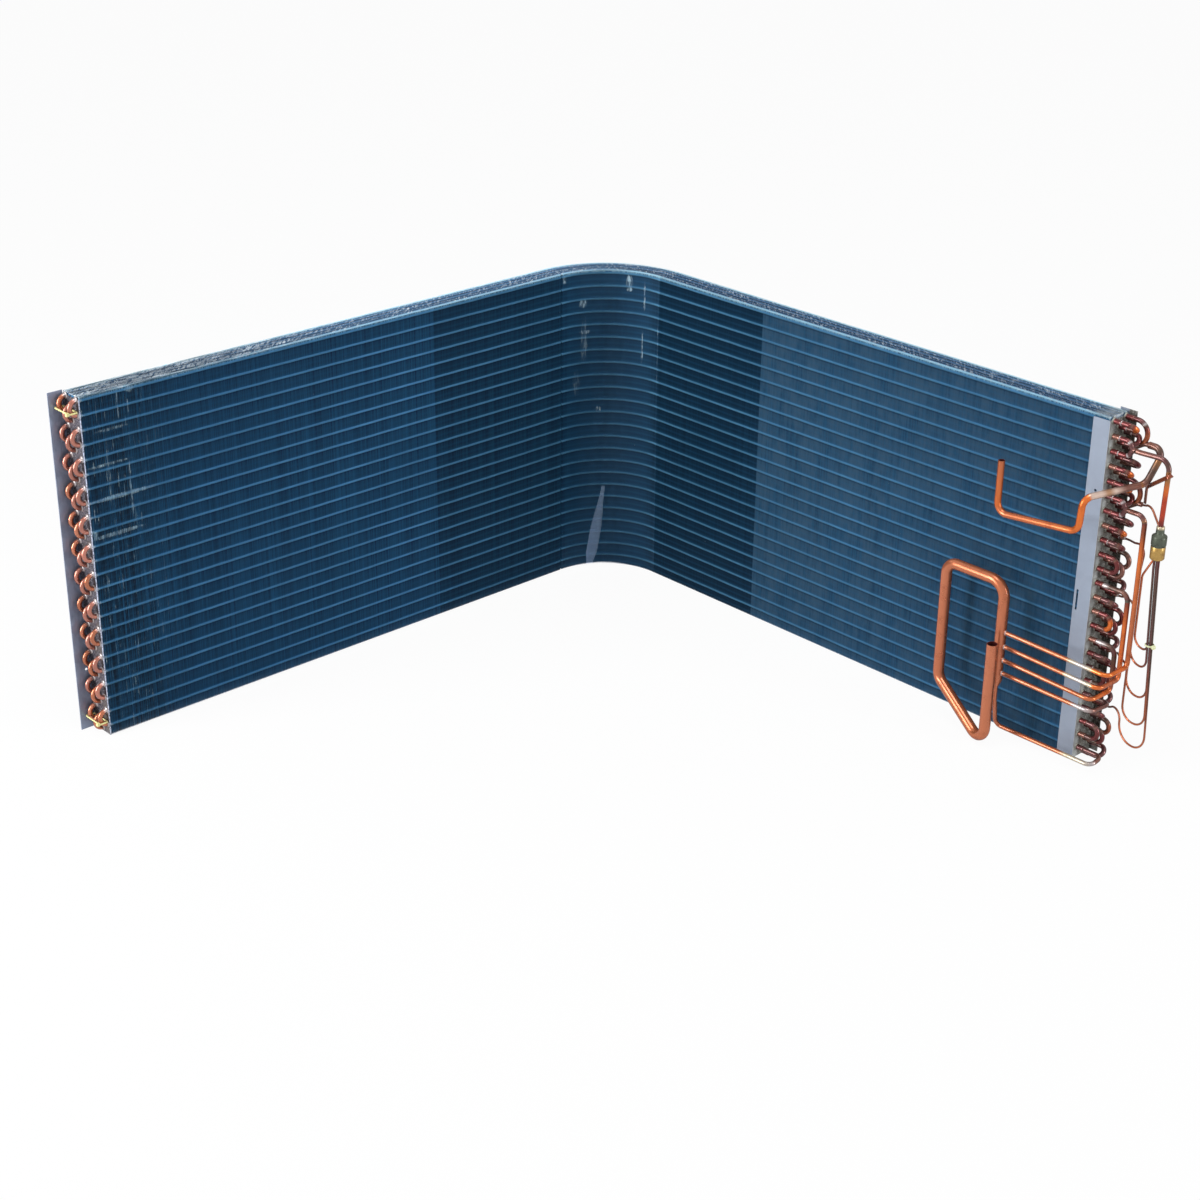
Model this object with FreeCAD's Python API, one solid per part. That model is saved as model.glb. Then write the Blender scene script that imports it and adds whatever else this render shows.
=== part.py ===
# Condenser coil: an L-shaped, three-row, finned-tube heat exchanger that stands upright.
# The corner point of the two inner face planes is the working zero; +X runs along the right leg,
# -Y along the left leg, +Z up. At the end everything moves so that zero is the middle of the base.
import FreeCAD, Part
import math
import os

os.makedirs("parts", exist_ok=True)
Vector = FreeCAD.Vector

# Tube field
TUBE_PITCH = 21.0
ROW_PITCH = 13.4
TUBES_PER_ROW = 24
TUBE_RADIUS = 3.5
TOP_MARGIN = 0.25 * TUBE_PITCH
STAGGER = 0.5 * TUBE_PITCH

# Fin packs
LEFT_LEG = 960.0
RIGHT_LEG = 949.0
BEND_RADIUS = 107.0
FIN_DEPTH = 13.0
GAP_DEPTH = 2.9
GAP_SHARE = 0.66
GAPS_PER_LEG = 24
GAPS_PER_BEND = 5
LEFT_GAP_START = 12.0
RIGHT_GAP_START = 28.0

# Tube sheets
SHEET_THICKNESS = 1.2
SHEET_DROP = 4.0
SHEET_SEAT = 0.3
RIGHT_FLANGE = 25.0
RIGHT_REAR_FLANGE = 12.0
LEFT_REAR_FLANGE = 23.5
LEFT_FLANGE_RISE = 4.5
SCREW_HEIGHTS = [405.0, 91.0]
SCREW_OUT = 5.8
TAB_WIDTH = 13.0
TAB_HEIGHT = 26.0
TAB_RISE = 2.5
HOLE_RADIUS = 2.0
HOLE_HEIGHT = 400.0
HOLE_INSET = 9.8
SLOT_WIDTH = 3.0
SLOT_LENGTH = 30.0
SLOT_HEIGHT = 237.0
SLOT_INSET = 19.8

# Return bends, from the outer face of the right tube sheet
BEND_REACH = 31.0
INNER_REACH = 27.5
STUB_REACH = 22.0
RING_RADIUS = 17.0
RING_APEX = 35.6
RING_OUTLET_DROP = 8.25
STUB_CONE = 6.0
STUB_TIP = 0.55

# Tripods that join two tube ends
FRONT_START = 28.0
FRONT_BENDS = [9.0, 7.0]
REAR_START = 13.0
FORK_MEET = 33.0
FORK_END = 40.0

# Pipes of the liquid side
LIQUID_RADIUS = 4.76
LIQUID_BORE = 3.96
LIQUID_FRONT = 58.0
LIQUID_END_X = -124.5
LIQUID_END_Z = 424.0
LIQUID_RUN_Z = 348.5
LIQUID_RUN_RISE = 13.0
LIQUID_RISE_X = 6.4
LIQUID_TOP_X = 9.6
LIQUID_CROSS_Z = 410.3
LIQUID_CROSS_RISE = 11.3
LIQUID_CROSS_X = 50.3
LIQUID_CREST_X = 63.3
LIQUID_BEND = 15.0
LIQUID_CREST_BEND = 11.5
LIQUID_SOCKET = 40.0

# Distributor and its capillaries
INLET_X = 88.5
INLET_LEAN = 2.0
INLET_BEND = 15.0
PIPE_LEAD = 6.0
DISTRIBUTOR_TOP = 378.0
DISTRIBUTOR_LENGTH = 47.0
NECK_RADIUS = 5.6
CROWN_RADIUS = 10.2
CROWN_LENGTH = 14.5
BODY_RADIUS = 9.8
BODY_LENGTH = 20.0
CHAMFER = 1.6
CAPILLARY_RADIUS = 1.5
CAPILLARY_BEND = 13.5
CAPILLARY_LEAD = 14.0
BUNDLE_RADIUS = 3.4
BUNDLE_LEAN = 0.0467
BUNDLE_ANGLES = [180, 252, 108, 324, 36]
LOOP_BOTTOMS = [197.5, 172.0, 122.5, 84.5, 46.2]
LOOP_NEAR = [0.32, 0.38, 0.45, 0.46, 0.46]
LOOP_ARCS = 0.92
LOOP_LEGS = [(67.0, 12.0), (62.0, 12.9), (57.0, 20.0), (61.0, 12.5), (53.5, 22.0)]
LEG_TOPS = [-32.0, -30.0, 4.0, 2.0, 8.0]
BODY_RISE = 34.0
SECOND_EASE = [(1.0, 6.5, 8.0)]
TAIL_SWINGS = [[(16.0, -5.0, 7.0)], [(20.0, -9.0, 3.0)], [(12.0, -3.0, 4.0)],
               [(26.0, -18.4, 5.0), (10.0, -2.0, 2.0)], [(14.0, -4.0, 6.0)]]

# Pipes of the vapour side
RISER_REACH = [64.2, 53.0, 42.8]
RISER_BEND = 12.0
BRANCH_RADIUS = 3.175
BRANCH_Z = [164.0, 141.0, 120.0, 103.0]
HEADER_HOLES = [168.0, 146.5, 125.6, 105.5]
BRANCH_BEND = 10.0
BRANCH_JOINT = 10.0
BRANCH_INSET = 5.0
HOLE_CLEARANCE = 0.15
FOURTH_REACH = 44.8
FIFTH_REACH = 42.3
FIFTH_LEAN = -8.0
FIFTH_DROP = 18.0
FIFTH_FRONT = 19.5
FIFTH_Z = 12.0
HEADER_RADIUS = 7.94
HEADER_BORE = 6.94
HEADER_FRONT = 38.0
HEADER_X = -113.3
HEADER_TOP = 241.0
HEADER_BOTTOM = 92.0
HEADER_CONE = 10.0
HEADER_TIP = 0.42
HEADER_BEND = 17.5
HEADER_TOP_BEND = 24.0
LOOP_X = -214.6
LOOP_LOW = 60.0
OPEN_X = -105.5
OPEN_FRONT = 66.0
OPEN_TOP = 160.0
OPEN_LOW = -1.0
OPEN_SOCKET = 45.0

# Strap and ties
STRAP_WIDTH = 5.4
STRAP_THICKNESS = 2.4
BRACE_TOP = 451.0
BRACE_KNEE = 412.0
BRACE_OUT = 4.0
BRACE_FOOT = 3.2
BRACE_CLEAR = 0.65
BRACE_HOOK = 9.0
TIE_WIDTH = 2.2
TIE_THICKNESS = 1.2
TIE_GAP = 1.3
BUNDLE_GAP = 0.6
TIE_HEAD = 5.0
TIE_DROP = 5.25
TIE_NEAR = 8.4
TIE_FAR = 3.9
TIE_HEIGHT = 207.8

# Sides of the drawn sections: the many equal bends have fewer sides than the single pipes
BEND_SIDES = 8
PIPE_SIDES = 10
CAPILLARY_SIDES = 6
TURNED_SIDES = 16
CAPILLARY_STEP = 30.0
BEND_STEP = 45.0
PIPE_STEP = 30.0

# Values that follow from the ones above
ROWS = 3
COIL_HEIGHT = TUBES_PER_ROW * TUBE_PITCH
COIL_DEPTH = ROWS * ROW_PITCH
SHEET_TOP = COIL_HEIGHT - SHEET_DROP
RIGHT_FACE = RIGHT_LEG + SHEET_THICKNESS
LEFT_FACE = -LEFT_LEG - SHEET_THICKNESS

nodes = {}


def row_depth(row):
    # Distance of a row's tube line behind the inner face; row 1 is the inner one.
    return (row - 0.5) * ROW_PITCH


def tube_height(row, number):
    # Height of a tube's axis; number 1 is the top one, and the middle row sits half a pitch lower.
    drop = TOP_MARGIN + (number - 1) * TUBE_PITCH
    if row == 2:
        drop = drop + STAGGER
    return COIL_HEIGHT - drop


def right(reach, row, height):
    # A point beside the right tube sheet, at a reach from its outer face.
    return Vector(RIGHT_FACE + reach, row_depth(row), height)


def ring_points(centre, direction, radius, sides):
    # Corners of a regular polygon that has the same area as the circle.
    corner = radius * math.sqrt(2 * math.pi / (sides * math.sin(2 * math.pi / sides)))
    helper = Vector(0, 0, 1)
    if abs(direction.z) > 0.9:
        helper = Vector(0, 1, 0)
    u = direction.cross(helper).normalize()
    v = direction.cross(u).normalize()
    angles = [2 * math.pi * (k + 0.5) / sides for k in range(sides)]
    return [centre + u * (corner * math.cos(a)) + v * (corner * math.sin(a)) for a in angles]


def turn_points(points, centre, axis, degrees):
    # Points turned about an axis line.
    rotation = FreeCAD.Rotation(axis, degrees)
    return [centre + rotation.multVec(p - centre) for p in points]


def skin(rings):
    # A closed solid through a row of polygon rings.
    faces = []
    for first, second in zip(rings[:-1], rings[1:]):
        count = len(first)
        for k in range(count):
            n = (k + 1) % count
            corners = [first[k], first[n], second[n], second[k], first[k]]
            faces.append(Part.Face(Part.makePolygon(corners)))
    for ring in (rings[0], rings[-1]):
        faces.append(Part.Face(Part.makePolygon(ring + [ring[0]])))
    solid = Part.Solid(Part.Shell(faces))
    if solid.Volume < 0:
        solid.reverse()
    return solid


def tube(points, radius, bend, sides, step):
    # A tube along straight runs that are joined by tangent arcs; bend is one radius or a list.
    bends = bend if isinstance(bend, list) else [bend] * (len(points) - 2)
    direction = (points[1] - points[0]).normalize()
    ring = ring_points(points[0], direction, radius, sides)
    rings = [ring]
    here = points[0]
    for k in range(1, len(points) - 1):
        after = (points[k + 1] - points[k]).normalize()
        turn = math.degrees(direction.getAngle(after))
        if turn < 0.5:
            continue
        axis = direction.cross(after).normalize()
        trim = bends[k - 1] * math.tan(math.radians(turn / 2))
        start = points[k] - direction * trim
        if (start - here).Length > 0.01:
            ring = [p + (start - here) for p in ring]
            rings.append(ring)
        centre = start + axis.cross(direction) * bends[k - 1]
        count = max(2, math.ceil(turn / step))
        for _ in range(count):
            ring = turn_points(ring, centre, axis, turn / count)
            rings.append(ring)
        here = points[k] + after * trim
        direction = after
    last = points[-1]
    if (last - here).Length > 0.01:
        rings.append([p + (last - here) for p in ring])
    return skin(rings)


def box(x0, y0, z0, x1, y1, z1):
    # A block between two corners.
    return Part.makeBox(x1 - x0, y1 - y0, z1 - z0, Vector(x0, y0, z0))


def save(name, solids):
    # Keep a node; its STEP file is written once all nodes are known.
    shape = solids[0]
    if len(solids) > 1:
        shape = Part.makeCompound(solids)
    nodes[name] = shape


# Fin packs


def leg_line(length, first):
    # Stations of the fin gaps along one leg, as pairs of distances from the end of the leg.
    pitch = (length - BEND_RADIUS - first) / GAPS_PER_LEG
    starts = [first + k * pitch for k in range(GAPS_PER_LEG)]
    return [(start, start + GAP_SHARE * pitch) for start in starts]


def comb_edge(offset, cut):
    # Outline of one face of a pack from the left end to the right end; cut is the depth of its
    # fin gaps, positive towards the back of the coil, or 0 for a plain face.
    points = [Vector(-offset, -LEFT_LEG, 0)]
    if cut:
        for start, stop in leg_line(LEFT_LEG, LEFT_GAP_START):
            points.append(Vector(-offset, -LEFT_LEG + start, 0))
            points.append(Vector(-offset - cut, -LEFT_LEG + start, 0))
            points.append(Vector(-offset - cut, -LEFT_LEG + stop, 0))
            points.append(Vector(-offset, -LEFT_LEG + stop, 0))
    points.append(Vector(-offset, -BEND_RADIUS, 0))
    return points


def bend_point(radius, angle):
    # A point of the corner bend; angle 0 is its left end and 90 its right end.
    a = math.radians(angle)
    return Vector(BEND_RADIUS - radius * math.cos(a), -BEND_RADIUS + radius * math.sin(a), 0)


def bend_edges(radius, cut):
    # Edges of one face round the corner, with its fin gaps.
    edges = []
    step = 90.0 / GAPS_PER_BEND
    half = 0.5 * GAP_SHARE * step
    here = 0.0
    for k in range(GAPS_PER_BEND if cut else 0):
        middle = (k + 0.5) * step
        low = middle - half
        high = middle + half
        arc = Part.Arc(bend_point(radius, here), bend_point(radius, (here + low) / 2),
                       bend_point(radius, low))
        edges.append(arc.toShape())
        edges.append(Part.makeLine(bend_point(radius, low), bend_point(radius + cut, low)))
        edges.append(Part.makeLine(bend_point(radius + cut, low), bend_point(radius + cut, high)))
        edges.append(Part.makeLine(bend_point(radius + cut, high), bend_point(radius, high)))
        here = high
    arc = Part.Arc(bend_point(radius, here), bend_point(radius, (here + 90) / 2),
                   bend_point(radius, 90))
    edges.append(arc.toShape())
    return edges


def right_line(offset, cut):
    # The right leg's part of one face, from the corner bend to the right end.
    points = [Vector(BEND_RADIUS, offset, 0)]
    if cut:
        for start, stop in reversed(leg_line(RIGHT_LEG, RIGHT_GAP_START)):
            points.append(Vector(RIGHT_LEG - stop, offset, 0))
            points.append(Vector(RIGHT_LEG - stop, offset + cut, 0))
            points.append(Vector(RIGHT_LEG - start, offset + cut, 0))
            points.append(Vector(RIGHT_LEG - start, offset, 0))
    points.append(Vector(RIGHT_LEG, offset, 0))
    return points


def face_edges(offset, cut):
    # All edges of one face of a pack, in order from the left end to the right end.
    edges = []
    left = comb_edge(offset, cut)
    right_side = right_line(offset, cut)
    edges.extend(Part.makeLine(a, b) for a, b in zip(left[:-1], left[1:]))
    edges.extend(bend_edges(BEND_RADIUS + offset, cut))
    edges.extend(Part.makeLine(a, b) for a, b in zip(right_side[:-1], right_side[1:]))
    return edges


def fin_pack(row):
    # One row's pack of upright fins; gaps show between groups of fins on its open face.
    near = (row - 1) * ROW_PITCH + 0.5 * (ROW_PITCH - FIN_DEPTH)
    far = near + FIN_DEPTH
    near_cut = GAP_DEPTH if row == 1 else 0
    far_cut = -GAP_DEPTH if row == ROWS else 0
    edges = face_edges(near, near_cut)
    edges.extend(face_edges(far, far_cut))
    edges.append(Part.makeLine(Vector(-near, -LEFT_LEG, 0), Vector(-far, -LEFT_LEG, 0)))
    edges.append(Part.makeLine(Vector(RIGHT_LEG, near, 0), Vector(RIGHT_LEG, far, 0)))
    outline = Part.Wire(Part.__sortEdges__(edges))
    return Part.Face(outline).extrude(Vector(0, 0, COIL_HEIGHT))


PACK_NAMES = ["inner", "middle", "outer"]
for row in range(1, ROWS + 1):
    save("fin_pack_" + PACK_NAMES[row - 1], [fin_pack(row)])


# Tube sheets: folded galvanised steel that holds the tubes at both ends


def left_sheet():
    # Plate that ends level with the fins in front, and a wide, higher flange behind the hairpins.
    back = COIL_DEPTH + SHEET_SEAT + SHEET_THICKNESS
    plate = box(-back, LEFT_FACE, 0, SHEET_SEAT, -LEFT_LEG, SHEET_TOP)
    flange = box(-back, -LEFT_LEG - LEFT_REAR_FLANGE, 0,
                 -back + SHEET_THICKNESS, LEFT_FACE, SHEET_TOP + LEFT_FLANGE_RISE)
    drill = Vector(-back - SHEET_THICKNESS, LEFT_FACE - SCREW_OUT, 0)
    holes = [Part.makeCylinder(HOLE_RADIUS, 3 * SHEET_THICKNESS, drill + Vector(0, 0, height),
                               Vector(1, 0, 0)) for height in SCREW_HEIGHTS]
    return plate.fuse(flange).removeSplitter().cut(holes)


def right_sheet():
    # Plate with a flange back over the fins in front and a small flange and tab behind.
    front = SHEET_SEAT + SHEET_THICKNESS
    back = COIL_DEPTH + SHEET_SEAT + SHEET_THICKNESS
    plate = box(RIGHT_LEG, -front, 0, RIGHT_FACE, back, SHEET_TOP)
    flange = box(RIGHT_LEG - RIGHT_FLANGE, -front, 0, RIGHT_LEG, -SHEET_SEAT, SHEET_TOP)
    rear = box(RIGHT_FACE, back - SHEET_THICKNESS, 0, RIGHT_FACE + RIGHT_REAR_FLANGE, back, SHEET_TOP)
    tab = box(RIGHT_LEG - TAB_WIDTH, back - SHEET_THICKNESS, SHEET_TOP - TAB_HEIGHT,
              RIGHT_FACE + RIGHT_REAR_FLANGE, back, COIL_HEIGHT + TAB_RISE)
    sheet = plate.fuse([flange, rear, tab]).removeSplitter()
    drill = Vector(RIGHT_LEG - HOLE_INSET, -2 * front, HOLE_HEIGHT)
    hole = Part.makeCylinder(HOLE_RADIUS, 2 * front, drill, Vector(0, 1, 0))
    slot = box(RIGHT_LEG - SLOT_INSET - SLOT_WIDTH / 2, -2 * front, SLOT_HEIGHT - SLOT_LENGTH / 2,
               RIGHT_LEG - SLOT_INSET + SLOT_WIDTH / 2, 0, SLOT_HEIGHT + SLOT_LENGTH / 2)
    return sheet.cut([hole, slot])


save("tube_sheet_left", [left_sheet()])
save("tube_sheet_right", [right_sheet()])


# Hairpin bends at the left end and return bends at the right end


def hairpin(row, first):
    # One hairpin's bend between tubes first and first + 1 of a row.
    top = tube_height(row, first)
    low = tube_height(row, first + 1)
    reach = LEFT_FACE - TUBE_PITCH / 2
    x = -row_depth(row)
    points = [Vector(x, LEFT_FACE, top), Vector(x, reach, top), Vector(x, reach, low),
              Vector(x, LEFT_FACE, low)]
    return tube(points, TUBE_RADIUS, TUBE_PITCH / 2, BEND_SIDES, BEND_STEP)


def return_bend(row_a, number_a, row_b, number_b, reach=BEND_REACH):
    # One return bend between two tube ends at the right tube sheet.
    a = right(0, row_a, tube_height(row_a, number_a))
    b = right(0, row_b, tube_height(row_b, number_b))
    radius = (b - a).Length / 2
    out = Vector(reach, 0, 0)
    return tube([a, a + out, b + out, b], TUBE_RADIUS, radius, BEND_SIDES, BEND_STEP)


for row in range(1, ROWS + 1):
    bends = [hairpin(row, first) for first in range(1, TUBES_PER_ROW, 2)]
    save("hairpin_bends_" + PACK_NAMES[row - 1], bends)

# The upper two circuits have four passes side by side; the lower four have a longer zigzag.
FORKED_STARTS = [1, 5]
SINGLE_STARTS = [9, 13, 17, 21]
for row in range(1, ROWS + 1):
    bends = [return_bend(row, s + 1, row, s + 2) for s in SINGLE_STARTS]
    save("return_bends_" + PACK_NAMES[row - 1], bends)

front_cross = []
rear_cross = []
for s in FORKED_STARTS:
    front_cross.append(return_bend(1, s, 2, s))
    front_cross.append(return_bend(1, s + 3, 2, s + 3))
    # This one bends inside the rear fork's ring.
    rear_cross.append(return_bend(2, s + 1, 3, s + 1, INNER_REACH))
    rear_cross.append(return_bend(2, s + 2, 3, s + 3))
for s in SINGLE_STARTS:
    front_cross.append(return_bend(1, s, 2, s))
    rear_cross.append(return_bend(2, s + 3, 3, s + 3))
save("crossover_bends_front", front_cross)
save("crossover_bends_rear", rear_cross)


# Forks that join two circuits


def front_fork(upper):
    # Two tube ends of the inner row that run together into one outlet.
    top = tube_height(1, upper)
    low = tube_height(1, upper + 1)
    middle = (top + low) / 2
    legs = []
    for height in (top, low):
        points = [right(0, 1, height), right(FRONT_START, 1, height), right(FORK_MEET, 1, middle),
                  right(FORK_END, 1, middle)]
        legs.append(tube(points, TUBE_RADIUS, FRONT_BENDS, BEND_SIDES, PIPE_STEP))
    return legs[0].fuse(legs[1]).removeSplitter()


def rear_fork(start):
    # A wide ring from one outer-row tube end that comes down on the pipe two places lower.
    top = tube_height(3, start)
    low = tube_height(3, start + 2)
    back = top - 2 * RING_RADIUS
    out = (top + low) / 2 - RING_OUTLET_DROP
    arch = tube([right(0, 3, top), right(RING_APEX, 3, top), right(RING_APEX, 3, back),
                 right(REAR_START, 3, back)], TUBE_RADIUS, RING_RADIUS, BEND_SIDES, BEND_STEP)
    pipe = tube([right(0, 3, low), right(REAR_START, 3, low), right(FORK_MEET, 3, out),
                 right(FORK_END, 3, out)], TUBE_RADIUS, RISER_BEND, BEND_SIDES, BEND_STEP)
    return arch.fuse(pipe).removeSplitter()


save("front_fork_upper", [front_fork(2)])
save("front_fork_lower", [front_fork(6)])
save("rear_fork_upper", [rear_fork(1)])
save("rear_fork_lower", [rear_fork(5)])


# Liquid side: the open pipe, the distributor inlet pipe, the distributor


def fork_outlet(row, start):
    # Middle of a fork's outlet end.
    if row == 1:
        return right(FORK_END, 1, (tube_height(1, start) + tube_height(1, start + 1)) / 2)
    height = (tube_height(3, start) + tube_height(3, start + 2)) / 2 - RING_OUTLET_DROP
    return right(FORK_END, 3, height)


def with_socket(pipe, end, direction, radius, bore, length):
    # Give a pipe's open end its true round wall, bored from the end.
    base = end - direction * length
    sleeve = Part.makeCylinder(radius, length, base, direction)
    core = Part.makeCylinder(bore, length, base, direction)
    return pipe.fuse(sleeve).removeSplitter().cut(core)


def liquid_pipe():
    # From the open end down, along the coil's face, up, across the end and back to the ring.
    up = Vector(0, 0, 1)
    end = Vector(RIGHT_FACE + LIQUID_END_X, -LIQUID_FRONT, LIQUID_END_Z)
    start = end - up * LIQUID_SOCKET
    outlet = fork_outlet(3, 1)
    points = [start,
              Vector(start.x, start.y, LIQUID_RUN_Z),
              Vector(RIGHT_FACE + LIQUID_RISE_X, start.y, LIQUID_RUN_Z + LIQUID_RUN_RISE),
              Vector(RIGHT_FACE + LIQUID_TOP_X, start.y, LIQUID_CROSS_Z),
              Vector(RIGHT_FACE + LIQUID_CROSS_X, row_depth(2), LIQUID_CROSS_Z + LIQUID_CROSS_RISE),
              Vector(RIGHT_FACE + LIQUID_CREST_X, outlet.y, outlet.z),
              outlet]
    bends = [LIQUID_BEND, LIQUID_BEND, LIQUID_BEND, LIQUID_BEND, LIQUID_CREST_BEND]
    pipe = tube(points, LIQUID_RADIUS, bends, PIPE_SIDES, PIPE_STEP)
    return with_socket(pipe, end, up, LIQUID_RADIUS, LIQUID_BORE, LIQUID_SOCKET)


def inlet_pipe():
    # From the upper front fork out, then down to the distributor's neck.
    start = fork_outlet(1, 2)
    corner = Vector(RIGHT_FACE + INLET_X + INLET_LEAN, start.y, start.z + INLET_LEAN)
    foot = Vector(RIGHT_FACE + INLET_X, start.y, DISTRIBUTOR_TOP)
    points = [start, start + Vector(PIPE_LEAD, 0, 0), corner, foot + Vector(0, 0, PIPE_LEAD), foot]
    return tube(points, TUBE_RADIUS, INLET_BEND, BEND_SIDES, PIPE_STEP)


def distributor():
    # One turned brass piece: a narrow neck, a conical shoulder, a full body and a chamfered foot.
    foot = DISTRIBUTOR_TOP - DISTRIBUTOR_LENGTH
    waist = foot + BODY_LENGTH
    shoulder = waist + CROWN_LENGTH
    profile = [(BODY_RADIUS - CHAMFER, foot), (BODY_RADIUS, foot + CHAMFER), (BODY_RADIUS, waist),
               (CROWN_RADIUS, waist + CHAMFER), (CROWN_RADIUS, shoulder - CHAMFER),
               (NECK_RADIUS, shoulder + CHAMFER), (NECK_RADIUS, DISTRIBUTOR_TOP)]
    x = RIGHT_FACE + INLET_X
    up = Vector(0, 0, 1)
    return skin([ring_points(Vector(x, row_depth(1), z), up, r, TURNED_SIDES) for r, z in profile])


save("liquid_pipe", [liquid_pipe()])
save("distributor_inlet_pipe", [inlet_pipe()])
save("distributor", [distributor()])


# Capillaries: each leaves the distributor's foot, hangs in a long loop and feeds one circuit


def inlet_stub(number):
    # The outer row's tube end that takes a capillary, drawn down to it.
    height = tube_height(3, number)
    along = Vector(1, 0, 0)
    big = ring_points(right(0, 3, height), along, TUBE_RADIUS, BEND_SIDES)
    shoulder = [p + along * (STUB_REACH - STUB_CONE) for p in big]
    tip = [p + along * STUB_CONE for p in shoulder]
    centre = right(STUB_REACH, 3, height)
    tip = [centre + (p - centre) * STUB_TIP for p in tip]
    return skin([big, shoulder, tip])


def bundle_point(index, height):
    # A capillary's place in the bundle, which leans outwards on its way down.
    foot = DISTRIBUTOR_TOP - DISTRIBUTOR_LENGTH
    lean = BUNDLE_LEAN * (foot - height)
    angle = math.radians(BUNDLE_ANGLES[index])
    return Vector(RIGHT_FACE + INLET_X + lean + BUNDLE_RADIUS * math.cos(angle),
                  row_depth(1) + BUNDLE_RADIUS * math.sin(angle), height)


def capillary(index, tail):
    # Down the bundle, round the loop's foot, up its left leg and along the tail to the coil.
    foot = DISTRIBUTOR_TOP - DISTRIBUTOR_LENGTH
    low = LOOP_BOTTOMS[index]
    start = bundle_point(index, foot)
    fall = start - Vector(0, 0, CAPILLARY_LEAD)
    turn = bundle_point(index, low)
    reach, depth = LOOP_LEGS[index]
    rise = Vector(RIGHT_FACE + reach, depth, low)
    width = (turn - rise).Length
    end = tail[-1]
    points = [start, fall, turn, rise] + tail[:-1] + [end + Vector(PIPE_LEAD, 0, 0), end]
    near = LOOP_NEAR[index] * width
    bends = [CAPILLARY_BEND, near, LOOP_ARCS * width - near] + [CAPILLARY_BEND] * len(tail)
    return tube(points, CAPILLARY_RADIUS, bends, CAPILLARY_SIDES, CAPILLARY_STEP)


def leg_top(index, height):
    # Top of a loop's left leg.
    reach, depth = LOOP_LEGS[index]
    return Vector(RIGHT_FACE + reach, depth, height)


def swings(index, end):
    # Way points of a tail, each at its own offset from the tube end that the tail feeds.
    return [end + Vector(*offset) for offset in TAIL_SWINGS[index]]


def capillary_tails():
    # The last part of each capillary, from its loop's left leg to the tube that it feeds.
    around = row_depth(1) + CROWN_RADIUS + 3 * CAPILLARY_RADIUS
    body_x = RIGHT_FACE + INLET_X - CROWN_RADIUS + CAPILLARY_RADIUS
    foot = DISTRIBUTOR_TOP - DISTRIBUTOR_LENGTH
    fork = fork_outlet(3, 5)
    stubs = [right(STUB_REACH, 3, tube_height(3, number)) for number in SINGLE_STARTS]
    # The first one climbs past the distributor, and the second one eases round its neighbours.
    climb = [Vector(body_x, around, foot), Vector(body_x, around, foot + BODY_RISE)]
    ease = [leg_top(1, stubs[0].z) + Vector(*offset) for offset in SECOND_EASE]
    tails = [[leg_top(0, foot + LEG_TOPS[0])] + climb + swings(0, fork) + [fork],
             [leg_top(1, stubs[0].z + LEG_TOPS[1])] + ease + swings(1, stubs[0]) + [stubs[0]]]
    for index in range(2, len(LEG_TOPS)):
        end = stubs[index - 1]
        tails.append([leg_top(index, end.z + LEG_TOPS[index])] + swings(index, end) + [end])
    return tails


save("inlet_stubs", [inlet_stub(number) for number in SINGLE_STARTS])
for index, tail in enumerate(capillary_tails()):
    save("capillary_" + str(index + 1), [capillary(index, tail)])


# Vapour side: risers, branch pipes and the header


def riser(index):
    # Out of the coil, down, and forward to meet its branch pipe.
    starts = [fork_outlet(1, 6), right(0, 1, tube_height(1, 12)), right(0, 1, tube_height(1, 16))]
    start = starts[index]
    x = RIGHT_FACE + RISER_REACH[index]
    low = BRANCH_Z[index]
    points = [start, Vector(x, start.y, start.z), Vector(x, start.y, low),
              Vector(x, -BRANCH_JOINT, low)]
    return tube(points, TUBE_RADIUS, [RISER_BEND, TUBE_RADIUS * 2], BEND_SIDES, PIPE_STEP)


def header_side(height):
    # Where a branch pipe starts inside the header's wall.
    return Vector(RIGHT_FACE + HEADER_X + BRANCH_INSET, -HEADER_FRONT, height)


def branch_path(index):
    # Path of a branch pipe from the header to its riser or tube.
    lead = Vector(PIPE_LEAD, 0, 0)
    if index < 3:
        x = RIGHT_FACE + RISER_REACH[index]
        low = BRANCH_Z[index]
        start = header_side(HEADER_HOLES[index])
        return [start, start + lead, Vector(x, -HEADER_FRONT, low), Vector(x, -BRANCH_JOINT, low)]
    if index == 3:
        x = RIGHT_FACE + FOURTH_REACH
        height = tube_height(1, 20)
        start = header_side(HEADER_HOLES[3])
        return [start, start + lead, Vector(x, -HEADER_FRONT, BRANCH_Z[3]),
                Vector(x, row_depth(1), height), right(0, 1, height)]
    x = RIGHT_FACE + FIFTH_REACH
    height = tube_height(1, 24)
    foot = Vector(RIGHT_FACE + HEADER_X, -HEADER_FRONT, HEADER_BOTTOM - HEADER_CONE)
    low = Vector(foot.x + FIFTH_LEAN, -FIFTH_FRONT, FIFTH_Z)
    return [foot, foot - Vector(0, 0, FIFTH_DROP), low, Vector(x, low.y, low.z),
            Vector(x, row_depth(1), height), right(0, 1, height)]


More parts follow.
